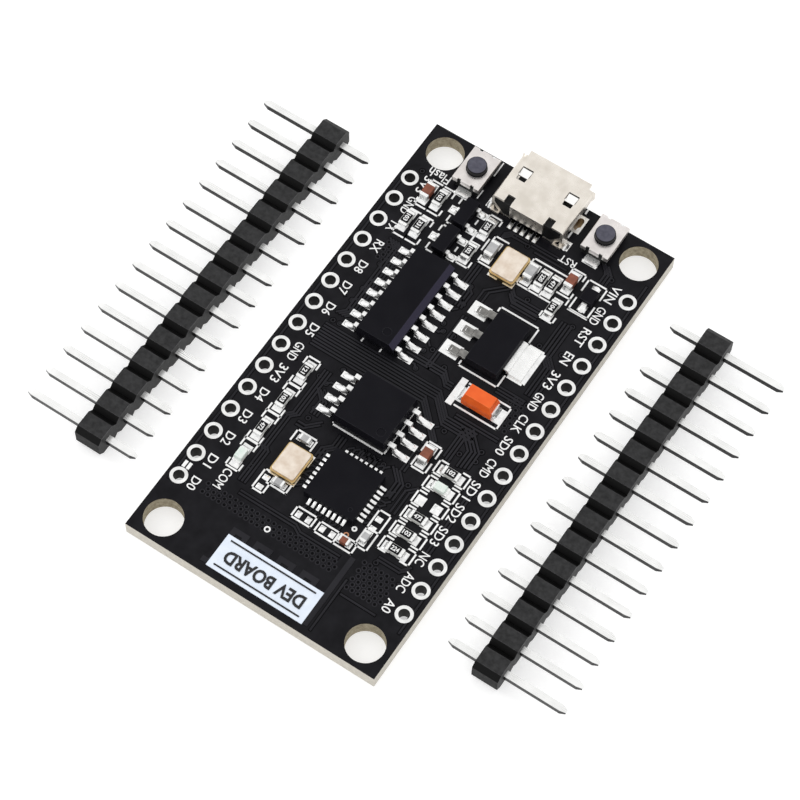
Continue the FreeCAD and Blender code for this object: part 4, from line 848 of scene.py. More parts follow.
# What each material slot of the record is given: a row of FINISHES, or a function of its own.
SLOT_MATERIALS = {
    "solder_mask": mask_material,
    "solder_mask_trace": "mask_over_copper",
    "tin_plating": "bright_tin",
    "gold_plating": "thin_gold",
    "pin_plating": pin_material,
    "nickel_shell": shell_material,
    "button_steel": "stamped_steel",
    "black_moulding": "black_moulding",
    "grey_moulding": plunger_material,
    "chip_epoxy": "chip_epoxy",
    "gold_rim": "welded_rim",
    "crystal_lid": "brushed_lid",
    "orange_moulding": "orange_moulding",
    "white_ceramic": "white_ceramic",
    "resistor_glaze": "resistor_glaze",
    "brown_ceramic": "brown_ceramic",
    "grey_ceramic": "grey_ceramic",
    "led_resin": resin_material,
}


class BOARD_OT_finishes(bpy.types.Operator):
    """Give every CAD part its material"""

    bl_idname = "board.finishes"
    bl_label = "Part finishes"

    def execute(self, context):
        special = {
            "pin_hole_barrels": barrel_material("pin_barrel", (0.012, 0.011, 0.01)),
            "shell_slot_plating": barrel_material("slot_barrel", (0.3, 0.2, 0.09)),
            "usb_chip_body": bevelled_chip_material(),
            "usb_contacts": contact_material(),
            "regulator_leads": plain("tin_in_painted_shade"),
            "left_header_housing": header_material(),
            "right_header_housing": header_material(),
        }
        for entry in frame["record"]["subparts"]:
            own = SLOT_MATERIALS[entry["material_slot"]]
            material = special.get(entry["node"]) or (plain(own) if isinstance(own, str) else own())
            mesh = frame["nodes"][entry["node"]].data
            mesh.materials.clear()
            mesh.materials.append(material)
        return {"FINISHED"}


# ---------------------------------------------------------------- printed legend


def brackets(x0, x1, y0, y1, leg, along="Y"):
    """Rows for two open brackets round a part, whose legs run along X or Y from its ends."""
    if along == "X":
        sides = ((x0, leg), (x1, -leg))
        return [(1, (x + inward, y1), (x, y1), (x, y0), (x + inward, y0)) for x, inward in sides]
    sides = ((y0, leg), (y1, -leg))
    return [(1, (x0, y + inward), (x0, y), (x1, y), (x1, y + inward)) for y, inward in sides]


def closed(x0, x1, y0, y1):
    """A row for a closed box."""
    return (1, (x0, y0), (x1, y0), (x1, y1), (x0, y1), (x0, y0))


def upper_outlines():
    """Rows round the parts between the USB socket and the USB-serial chip."""
    rows = []
    for y0, y1 in ((15.8, 18.76), (12.25, 15.2)):
        for x0, x1 in ((-9.72, -8.42), (-8.42, -7.14)):
            rows += brackets(x0, x1, y0, y1, 0.65)
    for y0, y1 in ((15.77, 18.68), (12.42, 15.38)):
        rows += [
            (1, (-5.8, y1), (-6.33, y1), (-6.33, y1 - 0.65)),
            (1, (-5.65, y0), (-6.3, y0), (-6.3, y0 + 0.7)),
            (1, (-3.96, (y0 + y1) / 2 + 0.2), (-3.96, (y0 + y1) / 2 - 0.2)),
        ]
    rows += [
        (1, (-3.38, 17.95), (-3.38, 18.62), (-2.08, 18.62), (-2.08, 18.05)),
        (1, (-3.38, 13.4), (-3.38, 12.8), (-2.08, 12.8), (-2.08, 13.45)),
        (1, (-3.38, 16.35), (-3.38, 15.15)),
        (1, (-2.08, 16.35), (-2.08, 15.15)),
    ]
    for start, end in ((-1.78, -0.45), (2.27, 5.75)):
        rows += [
            (1, (start, 16.35), (start, 17.0), (end, 17.0)),
            (1, (start, 14.6), (start, 13.95), (end, 13.95)),
        ]
    return rows + [
        (1, (3.5, 14.5), (3.5, 14.0)),
        (1, (4.62, 14.5), (4.62, 14.0)),
        (1, (5.68, 17.4), (5.68, 18.05), (7.04, 18.05), (7.04, 17.4)),
        (1, (5.75, 15.2), (7.04, 15.2)),
        (1, (7.04, 15.75), (7.04, 14.55)),
        (1, (5.68, 12.85), (5.68, 12.25), (7.04, 12.25), (7.04, 12.85)),
        *brackets(7.43, 9.3, 14.4, 17.86, 1.25),
        (1, (7.43, 14.3), (9.3, 14.3)),
        (1, (3.6, 23.85), (3.6, 23.45)),
        (1, (3.6, 21.1), (3.6, 20.5)),
        (0.6, (1.75, 19.3), (2.7, 19.3)),
        (0.7, (-5.28, 23.75), (-5.28, 22.2)),
        (0.7, (-5.28, 20.3), (-5.28, 19.4)),
    ]


def middle_outlines():
    """Rows round the regulator, the tantalum capacitor and the two large chips."""
    return [
        (1, (2.45, 10.75), (2.45, 11.2), (6.4, 11.2), (6.4, 9.6)),
        (1, (2.45, 4.75), (2.45, 4.3), (6.4, 4.3), (6.4, 5.6)),
        (1, (4.3, 3.3), (8.55, 3.3), (8.55, 0.85), (4.3, 0.85)),
        *((0.8, (x - 0.2, 1.6), (x - 0.2, 2.0), (x + 0.15, 2.0)) for x in (-5.6, -3.7)),
        (1, (-3.38, -6.2), (-3.38, -6.5), (1.88, -6.5), (1.88, -5.95)),
        (0.55, (1.88, -1.1), (1.88, -5.95)),
        *brackets(4.33, 5.77, -6.08, -3.28, 1.05),
    ]


def lower_outlines():
    """Rows round the parts at the wireless chip."""
    rows = []
    ends = (-2.2, -5.28, -8.48, -11.66, -14.74)
    for y in ends:
        first, last = y == ends[0], y == ends[-1]
        low, high = y - (0.0 if last else 0.75), y + (0.0 if first else 0.7)
        rows.append((1.0 if first or last else 1.4, (-8.79, y), (-7.46, y)))
        rows += [(1, (x, low), (x, high)) for x in (-8.79, -7.46)]
    rows += [
        (1, (-5.5, -9.7), (-5.5, -8.58), (-3.48, -8.58), (-3.48, -9.7)),
        (0.8, (-2.93, -10.93), (-2.93, -11.8)),
        (1, (-4.85, -14.2), (-2.95, -14.2), (-2.95, -13.18), (-5.68, -13.18), (-5.68, -15.27)),
        (1, (-5.68, -15.27), (-4.58, -15.27), (-4.58, -14.2)),
        closed(-1.43, 0.53, -15.63, -14.53),
        closed(0.97, 4.72, -15.72, -14.63),
        (1, (2.88, -15.72), (2.88, -14.63)),
        closed(4.48, 5.63, -14.83, -10.98),
        (1, (4.48, -12.92), (5.63, -12.92)),
    ]
    first, step, tall = -4.18, 1.69, 1.36
    for i in range(6):
        high = first - i * step
        rows += brackets(6.2, 9.28, high - tall, high, 0.75, "X")
    return rows


# Broad printed marks: start, end and width in millimetres.
BROAD_MARKS = (
    ((3.75, 0.95), (3.75, 3.2), 0.62),
    ((-11.62, -16.78), (-11.62, -16.42), 0.3),
    ((-11.18, -16.78), (-11.18, -16.42), 0.3),
)


class BOARD_OT_legend(bpy.types.Operator):
    """Print the white legend: pin names, part outlines and marks"""

    bl_idname = "board.legend"
    bl_label = "Legend"

    def execute(self, context):
        s = context.scene.board_legend
        bm = bmesh.new()
        for factor, *points in (*upper_outlines(), *middle_outlines(), *lower_outlines()):
            add_path(bm, points, s.line * factor, s.ink)
        for start, end, width in BROAD_MARKS:
            add_path(bm, (start, end), width * MM, s.ink)
        add_ring(bm, 3.7 * MM, -13.65 * MM, 0.25 * MM, 0.1 * MM, s.ink)
        add_ring(bm, -2.35 * MM, -17.75 * MM, 0.29 * MM, 0.16 * MM, s.ink)
        for side, labels in ((-1, LEFT_LABELS), (1, RIGHT_LABELS)):
            for i, words in enumerate(labels):
                y = (MIDDLE_PIN - i) * (PIN_PITCH * MM) - (0.015 + side * 0.085) * MM
                length = len(words) * s.letter
                add_words(bm, words, side * s.gap, y, READING_DOWN, s.cap, length, s.ink)
        add_words(bm, "Flash", -9.35 * MM, 19.45 * MM, READING_BACK, 0.95 * MM, 2.15 * MM, s.ink)
        add_words(bm, "RST", 4.85 * MM, 18.35 * MM, READING_BACK, 0.75 * MM, 1.65 * MM, s.ink)
        add_words(bm, "COM", -8.15 * MM, -15.95 * MM, READING_DOWN, 0.85 * MM, 2.0 * MM, s.ink)
        piece_from(bm, "legend_ink", plain("legend_ink"))
        return {"FINISHED"}


class BOARD_OT_panel(bpy.types.Operator):
    """Print the white panel at the antenna end, with plain generic lettering"""

    bl_idname = "board.name_panel"
    bl_label = "White panel"

    def execute(self, context):
        s = context.scene.board_legend
        x0, x1, y0, y1 = -4.78 * MM, 4.88 * MM, -23.25 * MM, -19.9 * MM
        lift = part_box("antenna_trace")[1].z
        bm = bmesh.new()
        place = Matrix.Translation(((x0 + x1) / 2, (y0 + y1) / 2, (TOP + lift + s.ink) / 2))
        stretch = Matrix.Diagonal((x1 - x0, y1 - y0, lift + s.ink - TOP, 1))
        bmesh.ops.create_cube(bm, size=1, matrix=place @ stretch)
        bmesh.ops.bevel(
            bm, geom=bm.edges[:], offset=0.012 * MM, segments=1, profile=0.5, affect="EDGES", material=-1,
        )
        piece_from(bm, "white_panel", plain("panel_ink"))
        base = lift + s.ink
        bm = bmesh.new()
        middle_x, middle_y = (x0 + x1) / 2, (y0 + y1) / 2
        add_words(
            bm, s.panel, middle_x, middle_y - 0.1 * MM, READING_BACK,
            1.25 * MM, 7.9 * MM, s.ink, base, 0.03,
        )
        for y in (y0 + 0.42 * MM, y1 - 0.42 * MM):
            add_bar(bm, (x0 + 0.6 * MM, y), (x1 - 0.6 * MM, y), 0.14 * MM, s.ink, base)
        piece_from(bm, "panel_lettering", plain("panel_lettering"))
        return {"FINISHED"}


class BOARD_OT_codes(bpy.types.Operator):
    """Print generic three-figure values on the resistors"""

    bl_idname = "board.codes"
    bl_label = "Resistor values"

    def execute(self, context):
        s = context.scene.board_legend
        bm = bmesh.new()
        for box, code in zip(islands("resistor_coats"), PART_CODES):
            low, high = box
            centre = middle(box)
            upright = high.y - low.y > high.x - low.x
            turn = READING_DOWN if upright else 0.0
            add_words(bm, code, centre.x, centre.y, turn, 0.42 * MM, 0.74 * MM, s.ink, high.z, 0.02)
        piece_from(bm, "resistor_values", plain("legend_ink"))
        return {"FINISHED"}


# ---------------------------------------------------------------- copper under the mask


def add_route(tracks, painted_shade_gaps, points, s):
    """A track through points in millimetres and its clearance, dark with painted shade where the mask dips
    beside it; each bar lies a hair above the last.
    """
    for start, end in zip(points, points[1:]):
        a, b = (Vector((*point, 0)) * MM for point in (start, end))
        rise = (len(tracks.verts) // 8 % 7) * s.layer
        add_bar(tracks, a, b, s.track, s.height + rise)
        # Painted shade: the wider, lower dark bar beside the track.
        add_bar(painted_shade_gaps, a, b, s.track + 2 * s.gap, s.sunk + rise)


def add_via(tracks, painted_shade_gaps, x, y, s, clear=True):
    """A masked via at a place in metres: a low ring round a dimple darkened with painted shade, with or
    without a clearance ring of painted shade.
    """
    shoulder = s.via * 0.86
    place = Matrix.Translation((x, y, TOP + s.height / 2))
    made = bmesh.ops.create_cone(
        tracks, cap_ends=True, segments=10, radius1=s.via, radius2=shoulder, depth=s.height, matrix=place,
    )["verts"]
    faces = {face for vert in made for face in vert.link_faces}
    top = max(faces, key=lambda face: face.calc_center_median().z)
    bmesh.ops.inset_region(tracks, faces=[top], thickness=shoulder - s.drill, use_even_offset=True)
    bmesh.ops.translate(tracks, verts=top.verts[:], vec=-UP * s.height * 0.9)
    # Painted shade: a dark disc in the via's dimple, and with a clearance a dark ring round the via.
    for radius, height in ((s.drill, s.height * 0.6), (s.via + s.gap, s.sunk))[:2 if clear else 1]:
        place = Matrix.Translation((x, y, TOP + height / 2))
        bmesh.ops.create_cone(
            painted_shade_gaps, cap_ends=True, segments=10, radius1=radius, radius2=radius, depth=height, matrix=place,
        )


def add_fan(tracks, painted_shade_gaps, node, body, s, straight, drift):
    """A short track from each lead beside a body: straight out from its toe, then aside to a via."""
    middle_x = middle(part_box(body)).x
    for i, (low, high) in enumerate(islands(node)):
        point = (low + high) / 2
        forward = Vector((math.copysign(1, point.x - middle_x), 0, 0))
        side = Vector((0, 1 if i % 2 else -1, 0))
        toe = point + forward * (high.x - low.x) / 2
        turn = toe + forward * straight * (1 + 0.5 * (i % 3))
        end = turn + (forward + side) * drift
        add_route(tracks, painted_shade_gaps, [(p.x / MM, p.y / MM) for p in (toe, turn, end)], s)
        if i % 3 != 1:
            add_via(tracks, painted_shade_gaps, end.x, end.y, s)


# Each run: the first track's points, how many tracks, and the step from one to the next, in millimetres.
RUNS = (
    ([(-9.3, 1.35), (2.6, 1.35), (4.4, -0.45), (7.4, -0.45)], 4, (0.0, -0.3)),
    ([(-9.3, 0.15), (1.8, 0.15), (4.9, -2.95)], 3, (0.0, -0.3)),
    ([(-9.3, -0.75), (0.8, -0.75)], 2, (0.0, -0.3)),
    ([(7.0, -0.3), (8.6, -1.9), (8.6, -3.6)], 4, (-0.32, -0.1)),
    ([(6.2, -1.0), (6.2, -3.7)], 3, (0.3, -0.15)),
    (
        [(-6.2, -2.6), (-6.2, -7.4), (-6.75, -7.95), (-6.75, -11.4), (-6.4, -11.75), (-6.4, -15.2)],
        3, (-0.3, 0.0),
    ),
    ([(-2.2, -7.1), (-2.2, -8.2), (-2.9, -8.9), (-2.9, -9.8)], 3, (0.32, 0.0)),
    ([(3.2, -7.0), (4.2, -8.0), (4.2, -9.6)], 3, (0.34, 0.0)),
    ([(-1.1, 13.6), (-1.1, 11.6), (-0.4, 10.9), (-0.4, 9.2)], 3, (-0.32, 0.0)),
    ([(1.9, 13.4), (0.3, 11.8), (0.3, 9.4)], 2, (0.5, 0.0)),
    ([(2.4, 13.3), (2.9, 12.8), (6.2, 12.8)], 3, (0.0, -0.3)),
    ([(7.7, 12.9), (7.7, 9.4), (8.8, 8.3), (8.8, 5.2)], 4, (0.32, 0.0)),
    ([(-9.4, 11.6), (-8.6, 10.8), (-8.6, 3.4), (-9.2, 2.8)], 4, (0.3, 0.0)),
    ([(0.9, 18.4), (-0.6, 18.4), (-1.3, 17.7), (-1.3, 17.2)], 3, (0.0, -0.3)),
    ([(1.4, 18.2), (4.2, 18.2)], 2, (0.0, -0.3)),
    ([(2.0, 17.5), (5.2, 17.5)], 1, (0.0, -0.3)),
    ([(-6.9, 12.0), (-7.6, 11.3)], 2, (0.3, 0.0)),
    ([(8.3, 17.9), (8.3, 19.2), (7.6, 19.9)], 3, (0.3, 0.0)),
    ([(9.6, 12.1), (9.6, 13.6)], 2, (0.3, 0.0)),
    ([(6.6, 3.9), (9.1, 3.9)], 3, (0.0, 0.3)),
    ([(3.1, 12.1), (5.6, 12.1)], 2, (0.0, -0.3)),
    ([(0.2, 8.6), (0.2, 2.6)], 2, (0.3, 0.0)),
    ([(-1.9, 3.2), (1.9, 3.2), (2.6, 2.5), (3.1, 2.5)], 3, (0.0, -0.3)),
    ([(6.1, -7.5), (5.3, -8.3), (5.3, -10.6)], 2, (0.4, 0.0)),
    ([(9.6, -14.0), (9.0, -14.6), (6.9, -14.6)], 2, (0.0, -0.3)),
    ([(9.9, -4.2), (9.9, -12.6)], 2, (0.3, 0.0)),
    ([(-4.2, -6.9), (-5.2, -7.9), (-5.9, -7.9)], 2, (0.0, -0.35)),
    ([(0.4, -7.1), (0.4, -7.9)], 4, (0.45, 0.0)),
    ([(3.9, -5.0), (3.9, -6.8)], 2, (0.3, 0.0)),
    ([(-6.2, -16.0), (-0.6, -16.0), (0.1, -16.4), (4.0, -16.4)], 2, (0.0, -0.3)),
    ([(-5.7, -4.4), (-4.9, -5.2), (-4.9, -6.6)], 3, (-0.3, 0.0)),
    ([(5.0, 0.2), (9.2, 0.2)], 2, (0.0, -0.3)),
    ([(6.1, -19.2), (9.4, -19.2)], 1, (0.0, 0.0)),
    ([(5.75, -17.9), (5.75, -23.2)], 1, (0.0, 0.0)),
    ([(12.0, 20.0), (12.0, -19.4)], 1, (0.0, 0.0)),
    ([(-12.0, 18.4), (-12.0, -18.4)], 1, (0.0, 0.0)),
)
LONE_VIAS = (
    (-6.9, -3.3), (-5.4, -7.2), (
        4.95, -1.75,
    ), (8.7, -1.65), (8.75, -2.7), (7.2, -2.85), (5.2, -7.75), (0.0, -8.0),
    (2.4, -7.3), (4.0, 13.1), (8.7, 13.0), (9.1, 18.9), (8.3, 19.3), (-0.4, 17.9), (1.1, 17.7), (
        -6.85, -13.7,
    ),
    (
        3.1, 12.2,
    ), (7.3, 9.8), (2.0, 2.6), (-1.4, 2.2), (-1.0, 9.8), (0.6, 6.4), (-8.6, 6.0), (9.4, 10.1), (9.3, 7.4),
    (-9.0, 1.9), (6.9, -15.2), (1.6, 3.4), (-0.2, 4.3), (-10.9, 19.0), (9.6, 18.2),
)
# The fields of ground vias, by their sides, in millimetres.
VIA_FIELDS = (
    (-8.9, 4.4, -17.9, -16.9), (6.1, 9.2, -18.4, -15.3), (8.1, 9.6, 1.1, 4.6), (-9.3, -7.4, 9.4, 11.2),
)
# Header holes with a short track: the row's side, and the place counted from the USB end.
STUBS = ((-1, 1), (-1, 3), (-1, 5), (-1, 7), (-1, 8), (1, 1), (1, 3), (1, 5), (1, 8), (1, 13))


class BOARD_OT_tracks(bpy.types.Operator):
    """Raise the copper under the mask: tracks, vias and ground stitching, with painted shade in their
    clearances
    """

    bl_idname = "board.tracks"
    bl_label = "Tracks and vias"

    def execute(self, context):
        s = context.scene.board_copper
        tracks, painted_shade_gaps = bmesh.new(), bmesh.new()
        for points, count, step in RUNS:
            for i in range(count):
                add_route(tracks, painted_shade_gaps, [(x + i * step[0], y + i * step[1]) for x, y in points], s)
        for side, row in STUBS:
            x, y = side * PIN_ROW, (MIDDLE_PIN - row) * PIN_PITCH
            add_route(
                tracks, painted_shade_gaps, [(x - side * 0.75, y), (x - side * 1.35, y), (x - side * 1.9, y - 0.55)], s,
            )
        for node, body, straight, drift in (
            ("usb_chip_leads", "usb_chip_body", 0.4 * MM, 0.3 * MM),
            ("memory_chip_leads", "memory_chip_body", 0.5 * MM, 0.32 * MM),
            ("diode_leads", "diode_body", 0.3 * MM, 0.3 * MM),
        ):
            add_fan(tracks, painted_shade_gaps, node, body, s, straight, drift)
        low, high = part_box("wifi_chip_body")
        centre, half = (low + high) / MM / 2, (high.x - low.x) / MM / 2
        for i, offset in enumerate(PAD_OFFSETS):
            out = half + 0.75 + 0.18 * (i % 3)
            far = out + 0.3
            for side in (-1, 1):
                bent = offset + 0.3 * side
                for start, turn, end in (
                    ((side * half, offset), (side * out, offset), (side * far, bent)),
                    ((offset, side * half), (offset, side * out), (bent, side * far)),
                ):
                    run = [(centre.x + x, centre.y + y) for x, y in (start, turn, end)]
                    add_route(tracks, painted_shade_gaps, run, s)
        self.stitch(tracks, painted_shade_gaps, s)
        piece_from(tracks, "masked_tracks", plain("mask_over_copper"))
        piece_from(painted_shade_gaps, "track_clearance_shade", plain("painted_shade_mask_dips"))
        bm = bmesh.new()
        add_ring(bm, 3.42 * MM, -14.47 * MM, 0.24 * MM, 0.13 * MM, s.height)
        piece_from(bm, "bare_via", plain("bare_copper"))
        return {"FINISHED"}

    def stitch(self, tracks, painted_shade_gaps, s):
        """The fields of vias, in staggered rows, and the vias that stand alone."""
        pitch = s.pitch / MM
        step = pitch * 0.8
        for x0, x1, y0, y1 in VIA_FIELDS:
            for row in range(int((y1 - y0) / step) + 1):
                shift = (row % 2) * pitch / 2
                for column in range(int((x1 - x0 - shift) / pitch) + 1):
                    add_via(
                        tracks, painted_shade_gaps, (x0 + shift + column * pitch) * MM,
                        (y0 + row * step) * MM, s, False,
                    )
        for x, y in LONE_VIAS:
            add_via(tracks, painted_shade_gaps, x * MM, y * MM, s)


# ---------------------------------------------------------------- solder


def fillet_surface(reach, width, flare, height):
    """A hollow-cheeked fillet that climbs a part's end face and flares out on its land."""

    def surface(u, v):
        out = (u + 1) / 2
        half = width / 2 + flare * out ** 0.6
        tall = height * (1 - out) ** 2.2 + 0.02 * MM
        return out * reach, v * half, tall * (1 - 0.35 * abs(v) ** 3)

    return surface


def bead_surface(length, width, height):
    """A low pillow of solder."""

    def surface(u, v):
        round_u, round_v = 1 - 0.22 * v * v, 1 - 0.22 * u * u
        fall = (1 - abs(u) ** 4) * (1 - abs(v) ** 4)
        return u * length / 2 * round_u, v * width / 2 * round_v, height * (0.12 + 0.88 * fall)

    return surface


def end_of(low, high, centres):
    """A terminal's middle, its way out from the nearest centre, and its size that way, across and up."""
    point = (low + high) / 2
    forward = outward(point, min(centres, key=lambda c: (c - point).length))
    span = high - low
    deep, wide = (span.x, span.y) if forward.x else (span.y, span.x)
    return point, forward, deep, wide, span.z


def add_end_fillets(bm, caps, cores, s):
    """Fillets at the outer faces of the end caps; thin caps get the smaller ones."""
    centres = [middle(box) for box in islands(cores)]
    for low, high in islands(caps):
        point, forward, deep, wide, tall = end_of(low, high, centres)
        reach = s.small_reach if deep < 0.26 * MM else s.chip_reach
        origin = Vector((point.x, point.y, low.z)) + forward * (deep / 2 - 0.02 * MM)
        add_mound(
            bm, frame_at(origin, forward), fillet_surface(reach, wide * 0.92, 0.04 * MM, tall * 0.8),
        )


def lead_surface(length, width, toe_height, heel_height):
    """Solder round a lead's foot: it climbs at the heel, u = -1, and ends in a round toe."""

    def surface(u, v):
        along = (u + 1) / 2
        end = max(0.0, (along - 0.6) / 0.4)
        half = width / 2 * (0.82 + 0.18 * math.sin(math.pi * along)) * math.sqrt(1 - 0.75 * end * end)
        tall = toe_height + (heel_height - toe_height) * (1 - along) ** 2.2
        tall *= (1 - 0.75 * abs(v) ** 3) * (1 - 0.8 * end ** 4)
        return u * length / 2, v * half, tall

    return surface


def add_lead_beads(bm, leads, centres, s, foot, toe, heel=0.3 * MM):
    """Solder from the heel to past the toe of each lead."""
    length = foot + toe
    for low, high in islands(leads):
        point, forward, deep, wide, _ = end_of(low, high, centres)
        middle_out = point + forward * (deep / 2 + toe - length / 2)
        origin = Vector((middle_out.x, middle_out.y, low.z - SINK))
        surface = lead_surface(length, wide + 2 * s.flank, s.bead, heel)
        add_mound(bm, frame_at(origin, forward), surface, 7)


class BOARD_OT_solder(bpy.types.Operator):
    """Flow the solder joints at every part"""

    bl_idname = "board.solder"
    bl_label = "Solder joints"

    def execute(self, context):
        s = context.scene.board_solder
        bm = bmesh.new()
        for kind in ("resistor", "brown_capacitor", "grey_capacitor"):
            add_end_fillets(bm, f"{kind}_end_caps", f"{kind}_bodies", s)
        add_end_fillets(bm, "led_end_caps", "led_bases", s)
        for leads, body, foot, toe, heel in (
            ("usb_chip_leads", "usb_chip_body", 0.8 * MM, 0.42 * MM, 0.68 * MM),
            ("memory_chip_leads", "memory_chip_body", 0.8 * MM, 0.58 * MM, 0.72 * MM),
            ("regulator_leads", "regulator_body", 0.3 * MM, 0.2 * MM, 0.3 * MM),
        ):
            low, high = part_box(body)
            centres = [Vector(((low.x + high.x) / 2, middle(box).y, low.z)) for box in islands(leads)]
            add_lead_beads(bm, leads, centres, s, foot, toe, heel)
        centres = []
        for body in ("upper_transistor_body", "lower_transistor_body"):
            low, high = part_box(body)
            centres += [
                Vector(((low.x + high.x) / 2, y, low.z)) for y in (low.y, (low.y + high.y) / 2, high.y)
            ]
        add_lead_beads(bm, "transistor_leads", centres, s, 0.36 * MM, s.toe)
        add_lead_beads(bm, "diode_leads", [middle(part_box("diode_body"))], s, 0.35 * MM, s.toe)
        for button in ("flash_button", "reset_button"):
            centre = middle(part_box(f"{button}_base"))
            add_lead_beads(bm, f"{button}_terminals", [centre], s, 0.3 * MM, 0.08 * MM, s.bead)
        low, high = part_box("regulator_tab")
        origin = Vector((high.x - 0.05 * MM, (low.y + high.y) / 2, low.z - SINK))
        wide = high.y - low.y
        add_mound(
            bm, frame_at(origin, Vector((1, 0, 0))),
            fillet_surface(0.42 * MM, wide, 0.12 * MM, 0.24 * MM), 7,
        )
        self.add_wifi_toes(bm)
        self.add_usb_joints(bm)
        self.add_tantalum_fillets(bm)
        self.add_bare_lands(bm, s)
        piece_from(bm, "solder_joints", plain("reflowed_solder"))
        return {"FINISHED"}

    def add_wifi_toes(self, bm):
        """Small solder toes round the leadless chip."""
        low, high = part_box("wifi_chip_body")
        centre = (low + high) / 2
        reach, wide, tall = 0.5 * MM, 0.25 * MM, 0.16 * MM
        half = (high.x - low.x) / 2
        for side in (-1, 1):
            for pad in PAD_OFFSETS:
                offset = pad * MM
                for forward, across in (
                    (Vector((side, 0, 0)), Vector((0, offset, 0))),
                    (Vector((0, side, 0)), Vector((offset, 0, 0))),
                ):
                    origin = Vector((centre.x, centre.y, low.z)) + forward * half + across
                    add_mound(bm, frame_at(origin, forward), fillet_surface(reach, wide, 0, tall), 3)

    def add_usb_joints(self, bm):
        """Solder on the socket's contact tails and its two rear feet."""
        for low, high in islands("usb_contacts"):
            origin = Vector(((low.x + high.x) / 2, low.y + 0.18 * MM, low.z - SINK))
            add_mound(
                bm, frame_at(origin, Vector((0, -1, 0))), bead_surface(0.7 * MM, 0.36 * MM, 0.16 * MM), 3,
            )
        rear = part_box("usb_shell")[0].y
        for side in (-1, 1):
            origin = Vector((side * 3.95 * MM, rear + 0.55 * MM, TOP + 0.035 * MM))
            add_mound(
                bm, frame_at(origin, Vector((side, 0, 0))),
                bead_surface(0.55 * MM, 0.9 * MM, 0.3 * MM), 3,
            )

    def add_tantalum_fillets(self, bm):
        """Fillets up the ends of the tantalum capacitor."""
        centre = middle(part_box("tantalum_body"))
        for low, high in islands("tantalum_terminals"):
            point = (low + high) / 2
            forward = outward(point, centre)
            edge = high.x if forward.x > 0 else low.x
            origin = Vector((edge, point.y, low.z))
            add_mound(
                bm, frame_at(origin, forward), fillet_surface(0.7 * MM, 1.25 * MM, 0.05 * MM, 0.7 * MM),
            )

    def add_bare_lands(self, bm, s):
        """A film of solder on the lands that carry no part."""
        spots = [(x, -8.35, 0.8, 0.85) for x in (6.86, 8.46)]
        small = ((-5.15, -13.85), (-5.15, -14.85), (4.95, -11.8), (4.95, -12.8))
        spots += [(x, y, 0.58, 0.46) for x, y in small]
        spots += [(x, -15.15, 0.46, 0.58) for x in (-0.95, 0.05, 1.45, 2.45)]
        for x, y, wide, long in spots:
            origin = Vector((x * MM, y * MM, TOP + 0.038 * MM))
            surface = bead_surface(wide * MM, long * MM, s.film * 1.6)
            add_mound(bm, frame_at(origin, Vector((1, 0, 0))), surface, 3)


# ---------------------------------------------------------------- stage


def camera_matrix(s):
    """The camera's place: on a line from the target at its azimuth and elevation, rolled about it."""
    a, e = s.azimuth, s.elevation
    back = Vector((math.sin(a) * math.cos(e), -math.cos(a) * math.cos(e), math.sin(e)))
    right = Vector((math.cos(a), math.sin(a), 0))
    up = back.cross(right)
    turn = Matrix((right, up, back)).transposed().to_4x4()
    return Matrix.Translation(
        Vector(s.target) + back * s.distance
    ) @ turn @ Matrix.Rotation(s.roll, 4, "Z")


def add_area_light(name, place, size, power):
    """A square soft light that points at the board."""
    data = bpy.data.lights.new(name, "AREA")
    data.shape = "SQUARE"
    data.size = size
    data.energy = power
    light = bpy.data.objects.new(name, data)
    bpy.context.scene.collection.objects.link(light)
    light.location = place
    light.rotation_euler = Vector(place).to_track_quat("Z", "Y").to_euler()


def floor_material(colour, glow):
    """A plain pale floor that gives off a little light, so that shadows stay faint."""
    material = bpy.data.materials.new("pale_floor")
    material.use_nodes = True
    shader = material.node_tree.nodes["Principled BSDF"]
    shader.inputs["Base Color"].default_value = (*colour, 1)
    shader.inputs["Roughness"].default_value = 0.9
    shader.inputs["Specular IOR Level"].default_value = 0.1
    shader.inputs["Emission Color"].default_value = (1, 1, 1, 1)
    shader.inputs["Emission Strength"].default_value = glow
    return material


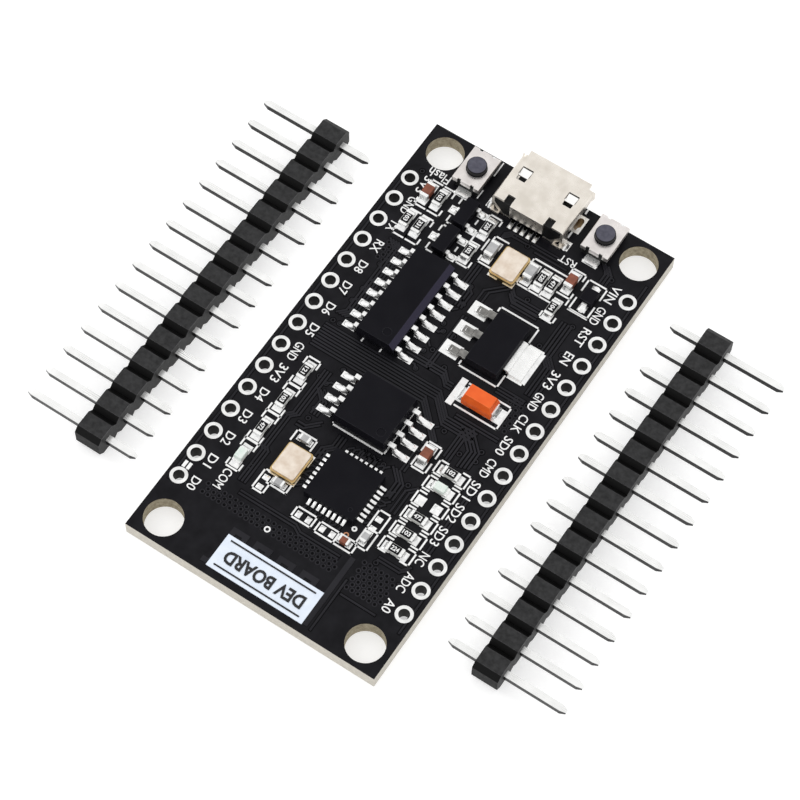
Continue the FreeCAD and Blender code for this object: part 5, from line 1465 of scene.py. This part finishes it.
class BOARD_OT_stage(bpy.types.Operator):
    """Set up the floor, the lights and the camera"""

    bl_idname = "board.stage"
    bl_label = "Stage"

    def execute(self, context):
        s = context.scene.board_stage
        bm = bmesh.new()
        place = Matrix.Translation((0, 0, CAD_BOX[0].z - 0.02 * MM))
        bmesh.ops.create_grid(bm, x_segments=1, y_segments=1, size=1.5, matrix=place)
        mesh = bpy.data.meshes.new("floor")
        bm.to_mesh(mesh)
        bm.free()
        floor = bpy.data.objects.new("floor", mesh)
        mesh.materials.append(floor_material(s.floor, s.glow))
        context.scene.collection.objects.link(floor)
        add_area_light("key_light", (-0.42, -0.06, 0.34), 0.25, s.key)
        add_area_light("fill_light", (0.2, 0.42, 0.2), 0.3, s.fill)
        world = bpy.data.worlds.new("soft_sky")
        world.use_nodes = True
        sky = world.node_tree.nodes["Background"]
        sky.inputs["Color"].default_value = (1, 1, 1, 1)
        sky.inputs["Strength"].default_value = s.sky
        context.scene.world = world
        context.scene.view_settings.view_transform = "Standard"
        data = bpy.data.cameras.new("camera")
        data.lens = s.lens
        data.sensor_width = 36
        data.clip_start = 0.01
        camera = bpy.data.objects.new("camera", data)
        context.scene.collection.objects.link(camera)
        camera.matrix_world = camera_matrix(s)
        context.scene.camera = camera
        return {"FINISHED"}


class VIEW3D_PT_board(bpy.types.Panel):
    """Lists the board's operators in the sidebar"""

    bl_label = "Dev board"
    bl_space_type = "VIEW_3D"
    bl_region_type = "UI"
    bl_category = "Dev board"

    def draw(self, context):
        for operator in OPERATORS:
            self.layout.operator(operator.bl_idname)


SETTINGS = {
    "board_legend": LegendSettings,
    "board_copper": CopperSettings,
    "board_solder": SolderSettings,
    "board_stage": StageSettings,
}
OPERATORS = (
    BOARD_OT_finishes,
    BOARD_OT_legend,
    BOARD_OT_panel,
    BOARD_OT_codes,
    BOARD_OT_tracks,
    BOARD_OT_solder,
    BOARD_OT_stage,
)
CLASSES = (*SETTINGS.values(), *OPERATORS, VIEW3D_PT_board)


def register():
    """Registers the classes and hangs the settings on the scene."""
    for cls in CLASSES:
        bpy.utils.register_class(cls)
    for name, cls in SETTINGS.items():
        setattr(bpy.types.Scene, name, PointerProperty(type=cls))


def unregister():
    """Takes back what register did."""
    for name in SETTINGS:
        delattr(bpy.types.Scene, name)
    for cls in reversed(CLASSES):
        bpy.utils.unregister_class(cls)


def main():
    """Builds every piece."""
    register()
    bpy.ops.board.finishes()
    bpy.ops.board.legend()
    bpy.ops.board.name_panel()
    bpy.ops.board.codes()
    bpy.ops.board.tracks()
    bpy.ops.board.solder()
    bpy.ops.board.stage()


if __name__ == "__main__":
    main()
